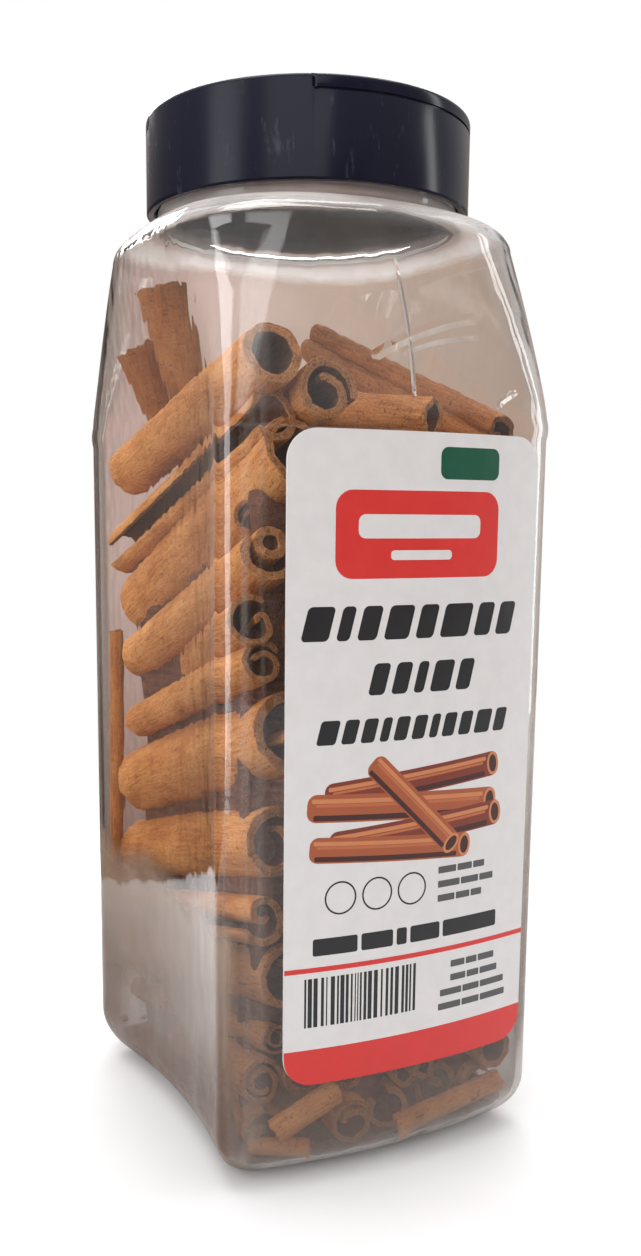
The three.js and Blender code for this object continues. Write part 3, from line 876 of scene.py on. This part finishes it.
def on_panel(name, shapes, lift, thickness, material):
    """Flat shapes of (x, z) points, wrapped on the front panel as thin closed plates."""
    work = bmesh.new()
    for shape in shapes:
        corners = [work.verts.new((x, 0, z)) for x, z in shape]
        work.faces.new(corners)
    for station in np.arange(LABEL_LEFT, LABEL_RIGHT, LABEL_STEP):
        bmesh.ops.bisect_plane(
            work, geom=work.verts[:] + work.edges[:] + work.faces[:],
            plane_co=(station, 0, 0), plane_no=(1, 0, 0), dist=1e-5,
        )
    bmesh.ops.triangulate(work, faces=[f for f in work.faces if len(f.verts) > 4])
    back = bmesh.ops.duplicate(work, geom=work.faces[:])
    twins = {v: back["vert_map"][v] for v in list(work.verts) if v in back["vert_map"]}
    rims = [e for e in work.edges if len(e.link_faces) == 1 and e.verts[0] in twins]
    deep = {v for f in back["geom"] if isinstance(f, bmesh.types.BMFace) for v in f.verts}
    for edge in rims:
        one, other = edge.verts
        if one not in deep:
            work.faces.new((one, other, twins[other], twins[one]))
    for vert in work.verts:
        vert.co.y = front_panel(vert.co.x, lift if vert in deep else lift + thickness)
    bmesh.ops.recalc_face_normals(work, faces=work.faces[:])
    mesh = bpy.data.meshes.new(name)
    work.to_mesh(mesh)
    work.free()
    mesh.transform(Matrix.Scale(MM, 4))
    mesh.materials.append(material)
    obj = link(bpy.data.objects.new(name, mesh))
    mark_sharp(mesh, 40 * DEGREE)
    return obj


def ellipse(x, z, half_x, half_z, lean):
    return turn_points(circle(28) * (half_x, half_z), lean) + (x, z)


def half_rings(x, z, radius, width):
    """The two halves of a thin ring."""
    halves = []
    for start in (0, 180):
        half = on_circle(np.linspace(start, start + 180, 20) * DEGREE)
        halves.append(np.vstack([radius * half, (radius - width) * half[::-1]]) + (x, z))
    return halves


def leaning(x, z, length, width, lean):
    """A bar with round ends, its middle at (x, z), leaning by an angle."""
    bar = rounded(-length / 2, length / 2, -width / 2, width / 2, width * 0.35)
    return turn_points(np.array(bar), lean) + (x, z)


def line_of_bars(left, right, bottom, top, shares, slant=0.0):
    """A row of bars that fills a line, their widths given as shares of it."""
    height = top - bottom
    gap = 0.24 * height
    room = (right - left - slant * height - gap * (len(shares) - 1)) / sum(shares)
    bars = []
    for share in shares:
        bar = rounded(left, left + room * share, bottom, top, 0.14 * height)
        bars.append([(x + slant * (z - bottom), z) for x, z in bar])
        left += room * share + gap
    return bars


# The marks of each part of the label, as (shapes, layer, ink). A higher layer shows over a lower one.


def field_marks():
    """The field at the top, with two stripes on it and a bar over it."""
    return [
        ([rounded(-16.0, 20.4, 119.0, 135.2, 3.4)], 1, "red"),
        ([rounded(6.0, 20.2, 137.4, 143.4, 1.6)], 1, "green"),
        ([rounded(-11.4, 15.8, 126.4, 130.8, 1.4), rounded(-4.6, 9.0, 122.4, 124.2, 0.7)], 2, "white"),
    ]


def heading_marks():
    """Three lines of slanted blocks."""
    lines = (
        (-22.6, 26.0, 107.6, 114.0, (4, 2, 3, 4, 3, 5, 3, 3)),
        (-9.0, 15.6, 97.2, 103.2, (3, 3, 2, 4, 3)),
        (-19.4, 24.6, 88.2, 92.8, (4, 3, 3, 2, 3, 3, 2, 3, 3, 4, 3)),
    )
    return [([bar for line in lines for bar in line_of_bars(*line, 0.25)], 1, "black")]


def bundle_marks():
    """A bundle of plain stick shapes, each shaded along its length, with a hollow end."""
    bundle = (
        (2.5, 80.0, 40, 5.0, 5, "brown"), (0.5, 75.2, 43, 5.4, -3, "tan"),
        (3.5, 70.2, 40, 5.2, 4, "brown"), (-2.5, 67.0, 36, 5.0, -4, "tan"),
        (2.0, 75.0, 27, 4.8, -44, "tan"),
    )
    # Each strip of shade: how far it lies across the stick, its length and width as shares, and its ink.
    strips = ((0.26, 0.9, 0.16, "orange"), (0.10, 0.86, 0.10, "rust"), (-0.34, 0.88, 0.20, "dark"))
    marks = []
    for number, (x, z, length, width, lean, ink) in enumerate(bundle):
        slope = lean * DEGREE
        first = 1 + 0.6 * number
        across = Vector((-math.sin(slope), math.cos(slope))) * width
        along = Vector((math.cos(slope), math.sin(slope)))
        middle = Vector((x, z))
        end = middle + along * (0.5 * length - 0.28 * width)
        marks.append(([leaning(x, z, length, width, slope)], first, ink))
        for rise, reach, thick, tone in strips:
            at = middle + across * rise - along * 0.03 * length
            marks.append(([leaning(*at, reach * length, thick * width, slope)], first + 0.2, tone))
        marks.append(([ellipse(*end, 0.30 * width, 0.48 * width, slope)], first + 0.3, "orange"))
        marks.append(([ellipse(*end, 0.20 * width, 0.36 * width, slope)], first + 0.4, "dark"))
    return marks


def small_marks():
    """Three rings, lines of small bars and a long one."""
    rings = [half for x in (-14.0, -6.2, 1.6) for half in half_rings(x, 58.5, 3.3, 0.35)]
    # Each group of lines: its top line's foot, the ends of its lines, and how each is shared out.
    groups = (
        (60.6, ((7.8, 19.6), (7.8, 22.0), (7.8, 19.0)), (6, 5, 4)),
        (40.6, ((11.5, 23.0), (11.5, 24.0), (9.0, 26.0), (8.6, 26.4)), (5, 4, 6)),
    )
    small = []
    for foot, lines, shares in groups:
        for row, (left, right) in enumerate(lines):
            bottom = foot - SMALL_LINE_STEP * row
            small += line_of_bars(left, right, bottom, bottom + SMALL_LINE, shares)
    long_line = line_of_bars(-19.6, 23.2, 47.4, 50.8, (4, 3, 1, 3, 6))
    return [(rings, 1, "black"), (small, 1, "grey"), (long_line, 1, "black")]


def upright_marks():
    """Upright bars of uneven width."""
    draw = np.random.default_rng(SEED)
    uprights, x = [], -21.2
    while x < 3.0:
        width = draw.choice((0.25, 0.4, 0.6, 0.85))
        uprights.append(rounded(x, x + width, 33.2, 43.0, 0.02))
        x += width + draw.choice((0.3, 0.45, 0.7))
    return [(uprights, 1, "black")]


def foot_marks(sheet):
    """A thin rule, and the band at the foot, which follows the sheet's round corners."""
    foot = [point for point in sheet if point[1] < LABEL_BOTTOM + LABEL_CORNER + 0.01]
    left = [point for point in foot if point[0] < 0]
    right = [point for point in foot if point[0] > 0]
    band = left + right + [(LABEL_RIGHT, BAND_TOP), (LABEL_LEFT, BAND_TOP)]
    return [([rounded(LABEL_LEFT, LABEL_RIGHT, 44.2, 45.2, 0.05)], 1, "red"), ([band], 1, "red")]


def make_label(materials):
    """A white label with plain fields, bars and stick shapes, and no words."""
    base = GAP + LABEL_THICKNESS - INK_ROOM
    shape = rounded(LABEL_LEFT, LABEL_RIGHT, LABEL_BOTTOM, LABEL_TOP, LABEL_CORNER, 10)
    sheet = on_panel("label_sheet", [shape], LABEL_PASTE, base - INK_LAYER, materials["white"])
    adopt(sheet, "label_paper", "label")
    marks = field_marks() + heading_marks() + bundle_marks() + small_marks() + upright_marks()
    for number, (shapes, layer, ink) in enumerate(marks + foot_marks(shape), 1):
        thickness = INK_LAYER + INK_LAYER * layer
        plate = on_panel(f"print_{number}", shapes, base, thickness, materials[ink])
        adopt(plate, "label_paper")


# ----------------------------------------------------------------------------------------- sticks


class Stick:
    """A stick's two ends and radius, with the moves that settle it in the jar."""

    def __init__(self, front, back, radius, held, kind="lap", seam=0.0, tone_and_shade=0.5):
        self.front = np.array(front, float)
        self.back = np.array(back, float)
        self.radius = radius
        self.length = float(np.linalg.norm(self.back - self.front))
        self.held = held
        self.kind = kind
        self.seam = seam
        self.tone_and_shade = tone_and_shade

    def at(self, share):
        return self.front + (self.back - self.front) * share

    def nudge(self, share, shift):
        """Moves the stick so that its point at share goes by shift."""
        front = 1 - share
        scale = 1 / (front * front + share * share)
        self.front += shift * (front * scale)
        self.back += shift * (share * scale)


def make_draw(seed):
    """A seeded draw between 0 and 1, the CAD's own."""
    state = seed
    while True:
        state = state * 16807 % 2147483647
        yield state / 2147483647


def loose_sticks():
    """Sticks laid in rows from front to back, their front ends raised, before they settle."""
    draw = make_draw(SEED)
    sticks = []
    for row in range(ROWS):
        for column in COLUMNS:
            radius = 4.4 + 2.8 * next(draw)
            length = 67 + 9 * next(draw)
            tilt = (2 + 1.3 * row + 6 * (next(draw) - 0.5)) * DEGREE
            turn = (next(draw) - 0.5) * 16 * DEGREE
            x = column + (-3 if row % 2 else 3) + 3 * (next(draw) - 0.5)
            y = 3 * (next(draw) - 0.5)
            centre = np.array([x, y, FLOOR + 8 + row * ROW_STEP])
            reach = length / 2 * np.array([
                math.sin(turn) * math.cos(tilt), -math.cos(turn) * math.cos(tilt), math.sin(tilt),
            ])
            sticks.append(Stick(centre + reach, centre - reach, radius, False))
            sticks[-1].length = length
    return sticks


def closest_shares(one, other):
    """Shares along two sticks at which they come closest."""
    u = one.back - one.front
    v = other.back - other.front
    w = one.front - other.front
    a, b, c, d, e = u @ u, u @ v, v @ v, u @ w, v @ w
    spread = a * c - b * b
    s = min(1, max(0, (b * e - c * d) / spread)) if spread > 1e-9 else 0.5
    t = min(1, max(0, (b * s + e) / c))
    s = min(1, max(0, (b * t - d) / a))
    return s, t


def push_apart(one, other):
    """Parts two sticks that overlap. One that is held stays where it is."""
    reach = one.radius + other.radius
    if min(one.front[2], one.back[2]) - max(other.front[2], other.back[2]) > reach:
        return
    if min(other.front[2], other.back[2]) - max(one.front[2], one.back[2]) > reach:
        return
    s, t = closest_shares(one, other)
    apart = one.at(s) - other.at(t)
    distance = math.sqrt(apart @ apart)
    if distance >= reach or distance < 1e-6:
        return
    apart *= (reach - distance) / distance
    share = 1 if one.held or other.held else 0.5
    if not one.held:
        one.nudge(s, apart * share)
    if not other.held:
        other.nudge(t, apart * -share)


def heel_draw(z):
    """How far the round heel draws the inner wall in at the given height."""
    radius = HEEL_RADIUS - WALL
    below = min(radius, max(0, HEEL_RADIUS - z))
    return radius - math.sqrt(radius ** 2 - below ** 2)


def side_reach(y, z):
    """How far the wall's inner face stands from the middle plane x = 0."""
    return HALF_WIDTH - WALL - SIDE_BOW * max(0, 1 - (y / HALF_DEPTH) ** 2) - heel_draw(z)


def panel_reach(x, z):
    """How far the wall's inner face stands from the middle plane y = 0."""
    crown = FRONT_CROWN * max(0, 1 - (x / HALF_WIDTH) ** 2)
    rounding = min(CORNER_RADIUS, max(0, abs(x) - (HALF_WIDTH - CORNER_RADIUS)))
    corner = CORNER_RADIUS - math.sqrt(CORNER_RADIUS ** 2 - rounding ** 2)
    return HALF_DEPTH - WALL + crown - corner - heel_draw(z)


def contain(stick):
    """Keeps a stick inside the jar and at its own length."""
    axis = stick.back - stick.front
    middle = stick.at(0.5)
    axis *= stick.length / 2 / math.sqrt(axis @ axis)
    stick.front = middle - axis
    stick.back = middle + axis
    room = stick.radius + GAP + 0.1
    flank = 0.7 * stick.radius
    for share in (0, 0.25, 0.5, 0.75, 1):
        point = stick.at(share)
        over = abs(point[0]) + room - side_reach(point[1], point[2] - flank)
        if over > 0:
            stick.nudge(share, np.array([-math.copysign(over, point[0]), 0, 0]))
        lift = FLOOR + stick.radius - point[2]
        if lift > 0:
            stick.nudge(share, np.array([0, 0, lift]))
    slope = math.sqrt(max(0, 1 - (axis[1] / math.sqrt(axis @ axis)) ** 2))
    for end in (stick.front.copy(), stick.back.copy()):
        reach = panel_reach(abs(end[0]) + flank, end[2] - flank)
        over = abs(end[1]) + stick.radius * slope + 2 * GAP - reach
        shift = -math.copysign(max(0, over), end[1])
        stick.front[1] += shift
        stick.back[1] += shift


def settle(sticks):
    """Lets the loose sticks sink on to the held ones and on to each other."""
    passes, sinking = 260, 200
    for step in range(passes):
        drop = 0.35 * (1 - step / sinking) + 0.04 if step < sinking else 0
        for stick in sticks:
            if not stick.held:
                stick.nudge(0.5, np.array([0, 0, -drop / 2]))
        for i, one in enumerate(sticks):
            for other in sticks[i + 1:]:
                if not (one.held and other.held):
                    push_apart(one, other)
        for stick in sticks:
            if not stick.held:
                contain(stick)
    return sticks


def held_sticks(places):
    """Held sticks from rows such as those of HELD_STICKS."""
    return [Stick(front, back, radius, True, *look) for front, back, radius, *look in places]


def all_sticks():
    """The heap's sticks, the held ones first, each at its place in the full jar."""
    held = held_sticks(HELD_STICKS)
    for stick in held:
        for _ in range(SETTLING):
            contain(stick)
    loose = loose_sticks()
    draw = make_draw(SEED + 1)
    for stick in loose:
        stick.kind = LOOSE_KINDS[int(next(draw) * len(LOOSE_KINDS))]
        stick.seam = 360 * next(draw)
        stick.tone_and_shade = 0.3 + 0.6 * next(draw)
    sticks = settle(held + loose) + held_sticks(FILLERS)
    for number, back in LONGER.items():
        sticks[number].back = np.array(back)
        sticks[number].length = float(np.linalg.norm(sticks[number].back - sticks[number].front))
    for number, (radius, lift) in FULLER.items():
        sticks[number].radius = radius
        sticks[number].nudge(0.5, np.array([0, 0, lift]))
    for stick in (*(sticks[number] for number in {*FULLER, *LONGER}), *sticks[-len(FILLERS):]):
        for _ in range(SETTLING):
            contain(stick)
    return sticks


def arc(path, heading, radius, sweep, step=6.0):
    """Continues a path round an arc, its radius going from radius[0] to radius[1]."""
    count = max(2, int(abs(sweep) / step))
    turn = sweep / count * DEGREE
    for k in range(count):
        r = radius[0] + (radius[1] - radius[0]) * (k + 0.5) / count
        heading += turn / 2
        x, y = path[-1]
        path.append((x + r * abs(turn) * math.cos(heading), y + r * abs(turn) * math.sin(heading)))
        heading += turn / 2
    return heading


def roll(kind, radius, bark_thickness):
    """The middle line of the rolled bark's section, from one edge of the bark to the other."""
    r = radius - bark_thickness / 2
    if kind != DOUBLE:
        path = [(r, 0.0)]
        heading = 90 * DEGREE
        for start, end, sweep in ROLLS[kind]:
            heading = arc(path, heading, (start * r, end * r), sweep)
        return np.array(path)
    half = 116
    path = [(r * math.cos(half * DEGREE), r * math.sin(half * DEGREE))]
    arc(path, (half + 90) * DEGREE, (0.44 * r, 0.34 * r), 225)
    curl = path[1:][::-1]
    middle = [(r * math.cos(a * DEGREE), r * math.sin(a * DEGREE)) for a in range(half, -half - 1, -6)]
    mirrored = [(x, -y) for x, y in curl[::-1]]
    return np.array(curl + middle + mirrored)


def wobble(values, seed, octaves=3):
    """A smooth random curve of about -1 to 1 over values, from a few seeded waves."""
    draw = np.random.default_rng(seed)
    total = np.zeros_like(values)
    for octave in range(octaves):
        wave = draw.uniform(0.7, 1.3) * 2 ** octave
        total += np.sin(values * wave + draw.uniform(0, 2 * math.pi)) / (octave + 1)
    return total / 1.6


def bark_section(kind, radius, thickness):
    """A roll's middle line and its normals, the distance along it, and half the bark's thickness."""
    middle = roll(kind, radius, thickness)
    tangent = np.gradient(middle, axis=0)
    tangent /= np.linalg.norm(tangent, axis=1)[:, None]
    normal = np.column_stack([tangent[:, 1], -tangent[:, 0]])
    centre = len(middle) // 2
    if normal[centre] @ middle[centre] < 0:
        normal = -normal
    along = np.concatenate([[0], np.cumsum(np.linalg.norm(np.diff(middle, axis=0), axis=1))])
    # The bark thins at its two edges.
    edge = np.minimum(along, along[-1] - along)
    half = thickness / 2 * (0.55 + 0.45 * np.clip(edge / (0.8 * thickness), 0, 1) ** 0.5)
    return middle, normal, along, half


OUTSIDE, INSIDE, CUT = range(3)  # the materials of a stick's faces


def quill_faces(count, rings):
    """Faces and their materials of a roll, from rings of count points outside and as many inside."""
    width = 2 * count
    faces, kinds = [], []
    for row in range(rings - 1):
        for i in range(width):
            j = (i + 1) % width
            faces.append((row * width + i, (row + 1) * width + i, (row + 1) * width + j, row * width + j))
            at_edge = i in (count - 1, width - 1) or row in (0, rings - 2)
            kinds.append(CUT if at_edge else OUTSIDE if i < count else INSIDE)
    last = (rings - 1) * width
    for i in range(count - 1):
        mirror = width - 1 - i
        faces.append((i, i + 1, mirror - 1, mirror))
        faces.append((last + mirror, last + mirror - 1, last + i + 1, last + i))
        kinds += [CUT, CUT]
    return faces, kinds


def quill(stick, number):
    """Points, faces, face materials, grain and tint of one rolled stick."""
    draw = np.random.default_rng(SEED + number)
    thickness = BARK_SHARES[stick.kind] * stick.radius * draw.uniform(0.85, 1.15)
    middle, normal, along, half = bark_section(stick.kind, stick.radius, thickness)
    axis = stick.back - stick.front
    length = float(np.linalg.norm(axis))
    axis /= length
    side = np.cross(axis, (0, 0, 1.0))
    side /= np.linalg.norm(side)
    up = np.cross(side, axis)
    inner_steps = np.linspace(0, 1, 19)[1:-1] * length
    stations = np.concatenate([[0, 0.35, 1.2], inner_steps, [length - 1.2, length - 0.35, length]])
    breathe = wobble(stations / length * 5, SEED + 7 * number)
    swing = wobble(stations / length * 2.5, SEED + 11 * number, 2)
    bend = np.sin(stations / length * math.pi) * draw.uniform(-0.35, 0.35)
    shape_turn = draw.uniform(0, math.pi)
    squeeze = draw.uniform(0.0, 0.06)
    tilt = draw.uniform(-0.12, 0.12, 2)
    there_and_back = np.concatenate([along, along[::-1]])
    # The grain of the bark's inside is another than that of its outside.
    around = np.concatenate([along, along[::-1] + 40])
    rings, grain = [], []
    for k, z in enumerate(stations):
        end = min(z, length - z)
        chip = 0.80 if end == 0 else 0.96 if end < 0.5 else 1.0
        own = half * chip * (1 + 0.05 * wobble(along * 0.9, SEED + 13 * number + k // 4))
        out = normal * own[:, None]
        section = np.vstack([middle + out, (middle - out)[::-1]]) * (0.955 + 0.022 * breathe[k])
        # The roll is a little flattened, and slow lumps run along it.
        squeezed = turn_points(section, -shape_turn) * (1 - squeeze, 1 + 0.3 * squeeze)
        section = turn_points(squeezed, shape_turn)
        angle = np.arctan2(section[:, 1], section[:, 0])
        lumps = 0.018 * np.sin(3 * angle + number + 0.8 * swing[k]) + 0.003 * np.sin(7 * angle + 2 * number)
        section = turn_points(section * (1 + lumps[:, None]), (stick.seam + 7 * swing[k]) * DEGREE)
        reach = np.full(len(section), z)
        if end < 2:
            # The ends are broken off rough and askew.
            inward = 1 if z < length / 2 else -1
            rough = 0.35 * wobble(there_and_back * 1.6, SEED + 17 * number + (inward < 0), 4)
            keep = 1 - end / 2
            reach = reach + (rough + section @ tilt * inward) * keep * 0.8 + 0.45 * inward * keep
        x, y = section[:, :1] + bend[k], section[:, 1:]
        rings.append(stick.front + axis * reach[:, None] + side * x + up * y)
        grain.append(at_height(at_height(around[:, None], z), 17.3 * number))
    faces, kinds = quill_faces(len(middle), len(stations))
    return np.vstack(rings), faces, kinds, np.vstack(grain), stick.tone_and_shade


def plain_part(points, faces, tone_and_shade):
    """A part for joined that is all of one material, with grain that runs as its points do."""
    return points, faces, [0] * len(faces), points, tone_and_shade


def set_point_attribute(mesh, name, kind, values):
    attribute = mesh.attributes.new(name, kind, "POINT")
    key = "vector" if kind == "FLOAT_VECTOR" else "value"
    attribute.data.foreach_set(key, np.asarray(values, np.float32).ravel())


def joined(name, parts, materials, sharp_angle):
    """One mesh from (points, faces, face materials, grain, tint) parts."""
    points, faces, kinds, grain, tones_and_shades = [], [], [], [], []
    start = 0
    for part_points, part_faces, part_kinds, part_grain, tone_and_shade in parts:
        points.append(part_points)
        faces += [tuple(start + i for i in face) for face in part_faces]
        kinds += part_kinds
        grain.append(part_grain)
        tones_and_shades.append(np.full(len(part_points), tone_and_shade))
        start += len(part_points)
    obj = mesh_object(name, np.vstack(points), faces, materials, kinds, sharp_angle)
    set_point_attribute(obj.data, "grain", "FLOAT_VECTOR", np.vstack(grain))
    set_point_attribute(obj.data, "tone_and_shade", "FLOAT", np.concatenate(tones_and_shades))
    return obj


def barks(materials):
    """The materials of OUTSIDE, INSIDE and CUT faces."""
    return [materials["bark"], materials["bark_inside"], materials["bark_cut"]]


def make_sticks(materials):
    """All whole sticks, joined to one piece for each kind of roll."""
    parts = {kind: [] for kind in (*ROLLS, DOUBLE)}
    for number, stick in enumerate(all_sticks()):
        parts[stick.kind].append(quill(stick, number))
    for kind, quills in parts.items():
        obj = joined("sticks_" + kind, quills, barks(materials), 42 * DEGREE)
        adopt(obj, "cinnamon_bark", "cinnamon_sticks")


def smoothed(values):
    """A running mean round a closed row of values."""
    count = len(values)
    return np.convolve(np.tile(values, 3), np.ones(5) / 5, "same")[count:2 * count]


def make_core(materials):
    """The mass of broken bark inside the heap, high at the front and low at the back, dark as painted shade
    in the gaps between the sticks.
    """
    draw = np.random.default_rng(SEED + 3)
    low = FLOOR + 3
    one, other = (smoothed(draw.uniform(-1, 1, len(BODY))) for _ in range(2))
    rings = []
    for level in np.linspace(0, 1, 30):
        swing = math.sin(9 * level * math.pi)
        inset = CORE_INSET + 3.5 * (swing * one + math.cos(11 * level) * other)
        points = at_height(BODY * np.column_stack([1 - inset / HALF_WIDTH, 1 - inset / HALF_DEPTH]), 0)
        top = CORE_TOP - CORE_SLOPE * points[:, 1]
        points[:, 2] = low + level * (top - low)
        rings.append(points)
    points, faces = skin(rings, (0, 0, low), (0, 0, CORE_TOP))
    # The core takes the dark inner bark's colour as painted shade where it shows between the sticks.
    core = joined("heap_core", [plain_part(points, faces, 0.8)], [materials["bark_inside"]], 30 * DEGREE)
    adopt(core, "cinnamon_bark")


# ----------------------------------------------------------------------------------------- crumbs

CHIPS = 520
BED_TOP = 4.6
BED_GAP = 0.12
FIRST_SHARD = 90  # shards are numbered on from here, past all the sticks
# Broken pieces between the sticks' ends and the front, told as the held sticks are.
SHARDS = (
    ((-25.5, -37.2, 10.5), (-11.5, -38.4, 17.5), 2.9, "trough", 265, 0.60),
    ((1.0, -38.4, 6.4), (29.0, -36.6, 10.4), 2.6, "trough", 262, 0.50),
    ((-29.5, -33.0, 7.0), (-17.0, -37.8, 6.2), 2.2, "trough", 250, 0.50),
)


def resting_height(x, y, room):
    """The lowest height at which a thing of the given room at (x, y) is clear of the jar's foot."""
    middle_rise = PUSH_UP * max(0.0, 1 - math.hypot(x, y) / 26)
    for z in np.arange(WALL + middle_rise, 10, 0.4):
        if abs(x) + room < side_reach(y, z) and abs(y) + room < panel_reach(x, z):
            return z
    return None


def make_chips(materials):
    """Rough flat slabs of bark, turned any way, over the jar's floor."""
    draw = np.random.default_rng(SEED + 5)
    parts = []
    while len(parts) < CHIPS:
        x, y = draw.uniform(-31, 31), draw.uniform(-40, 40)
        size = draw.uniform(0.5, 1.0) * draw.choice((1.0, 1.6, 2.4), p=(0.6, 0.3, 0.1))
        z = resting_height(x, y, size + 0.4)
        if z is None:
            continue
        half = size * np.array([1.0, draw.uniform(0.45, 0.8), draw.uniform(0.15, 0.4)])
        corners = BOX * half * draw.uniform(0.7, 1.1, (8, 3))
        turn, lean = draw.uniform(0, 2 * math.pi), draw.uniform(-0.6, 0.6)
        spin = Matrix.Rotation(turn, 3, "Z") @ Matrix.Rotation(lean, 3, "X")
        lift = z + half[2] + draw.uniform(0.2, 1.8)
        points = corners @ np.array(spin).T + np.array([x, y, lift])
        parts.append(plain_part(points, BOX_FACES, draw.uniform(0.3, 1.0)))
    adopt(joined("bark_chips", parts, [materials["bark_crumbs"]], 20 * DEGREE), "cinnamon_bark")


def make_shards(materials):
    """The larger broken pieces at the foot of the front panel."""
    pieces = [quill(stick, number) for number, stick in enumerate(held_sticks(SHARDS), FIRST_SHARD)]
    adopt(joined("bark_shards", pieces, barks(materials), 42 * DEGREE), "cinnamon_bark")


def make_bed(materials):
    """A bed of powder, against the inner face of the heel and rough on top."""
    reach = HEEL_RADIUS - WALL - BED_GAP
    rings = [ring(BODY, WALL + BED_GAP, HEEL_RADIUS + STANDING_RING)]
    for angle in np.linspace(90, 0, 25) * DEGREE:
        if HEEL_RADIUS - (HEEL_RADIUS - WALL) * math.sin(angle) < BED_TOP:
            drawn = HEEL_RADIUS - reach * math.cos(angle)
            rings.append(ring(BODY, HEEL_RADIUS - reach * math.sin(angle), drawn))
    edge = rings[-1]
    for share in np.linspace(0.97, 0.1, 14):
        level = edge * (share, share, 1)
        x, y = level[:, 0], level[:, 1]
        level[:, 2] += 0.7 * wobble(x * 0.5 + 9, SEED, 4) * wobble(y * 0.45 + 5, SEED + 1, 4)
        rings.append(level)
    points, faces = skin(rings, (0, 0, PUSH_UP + WALL + BED_GAP), (0, 0, BED_TOP))
    bed = joined("crumb_bed", [plain_part(points, faces, 0.7)], [materials["bark_crumbs"]], 60 * DEGREE)
    adopt(bed, "cinnamon_bark")


# ---------------------------------------------------------------------------------- floor and light


def make_floor():
    """A plain pale sheet, which fades into the background as the camera sees it."""
    n = new_material("floor")
    n.set(roughness=0.6)
    place = n.place()
    n.feed("Base Color", n.ramp(n.noise(place, 40, 2.0), (0.3, 0.84), (0.7, 0.86)))
    distance = n.measure("LENGTH", place)
    # The sheet ends along a line behind the jar on its left, which the jar's side reflects.
    inward = n.measure("DOT_PRODUCT", place, (math.cos(SHEET_TURN), math.sin(SHEET_TURN), 0))
    solid = n.fade(inward, -SHEET_REACH - 6, -SHEET_REACH, 0.0, 1.0)
    path = n.add("LightPath")
    for kind, (near, far) in (("Is Camera Ray", FADE), ("Is Transmission Ray", NEAR)):
        solid = n.range(path.outputs[kind], 0, 1, solid, n.fade(distance, near, far, 1.0, 0.0))
    clear = n.add("BsdfTransparent")
    material = n.finish(n.either(solid, clear.outputs[0], n.shader.outputs[0]))
    points = at_height(FLOOR_RADIUS * circle(96), 0)
    floor = mesh_object("floor", points, [tuple(range(96))], [material])


def make_world():
    """Soft light all round, brightest overhead, behind a plain white background."""
    n = Nodes(bpy.data.worlds.new("world"), "Background", "World Output")
    x, _, z = n.split(n.add("TexCoord").outputs["Generated"])

    def ramp(direction, *stops):
        """A colour by one part of the direction, which runs from -1 to 1."""
        places = (((place + 1) / 2, colour) for place, colour in stops)
        return n.ramp(n.range(direction, -1, 1, 0, 1), *places)

    # Warm and pale behind the jar on its left, tan and darker behind it on its right.
    low = ramp(
        x, (-0.95, (0.66, 0.64, 0.62)), (-0.72, (0.24, 0.19, 0.165)), (0.20, (0.30, 0.24, 0.21)),
        (0.35, (0.74, 0.54, 0.49)), (0.45, (0.64, 0.49, 0.41)), (0.58, (0.50, 0.375, 0.30)),
        (0.75, (0.40, 0.34, 0.31)), (0.98, (0.74, 0.73, 0.72)),
    )
    down = ramp(z, (-0.30, (0.40, 0.33, 0.29)), (-0.06, 1))
    high = ramp(z, (0.0, (0.42, 0.40, 0.39)), (0.30, (0.55, 0.53, 0.52)), (0.85, (0.98, 0.98, 1.0)))
    share = ramp(z, (0.22, 0), (0.42, 1))
    n.feed("Color", n.mix(share, n.mix(1, low, down, "MULTIPLY"), high))
    n.set(strength=0.9)
    seen = n.add("Background")
    n.put(seen.inputs["Color"], (1, 1, 1))
    camera_ray = n.add("LightPath").outputs["Is Camera Ray"]
    bpy.context.scene.world = n.finish(n.either(camera_ray, n.shader.outputs[0], seen.outputs[0]))


# Flat lamps that face the jar's middle: place, width and height, and watts.
LAMPS = {
    "key": ((-560, -800, 650), (800, 700), 3.6),
    "overhead": ((0, 60, 800), (700, 260), 3.0),
    "back": ((160, 640, 560), (620, 220), 2.6),
    "right_strip": ((620, -260, 220), (90, 700), 1.2),
    "left_strip": ((-640, -60, 260), (240, 700), 1.9),
}
LAMP_AIM = (0, 0, 110)


def make_lights():
    for name, (place, (width, height), watts) in LAMPS.items():
        data = bpy.data.lights.new(name, "AREA")
        data.shape = "RECTANGLE"
        data.size, data.size_y = width * MM, height * MM
        data.energy = watts
        lamp = link(bpy.data.objects.new(name, data))
        lamp.location = Vector(place) * MM
        lamp.rotation_euler = (Vector(LAMP_AIM) - Vector(place)).to_track_quat("-Z", "Y").to_euler()


# ------------------------------------------------------------------------------------------- scene

bpy.context.scene.view_settings.view_transform = "Standard"
make_camera()
make_world()
make_lights()
make_floor()
MATERIALS = make_materials()
make_jar(MATERIALS)
make_cap(MATERIALS)
make_label(MATERIALS)
make_sticks(MATERIALS)
make_core(MATERIALS)
make_chips(MATERIALS)
make_shards(MATERIALS)
make_bed(MATERIALS)
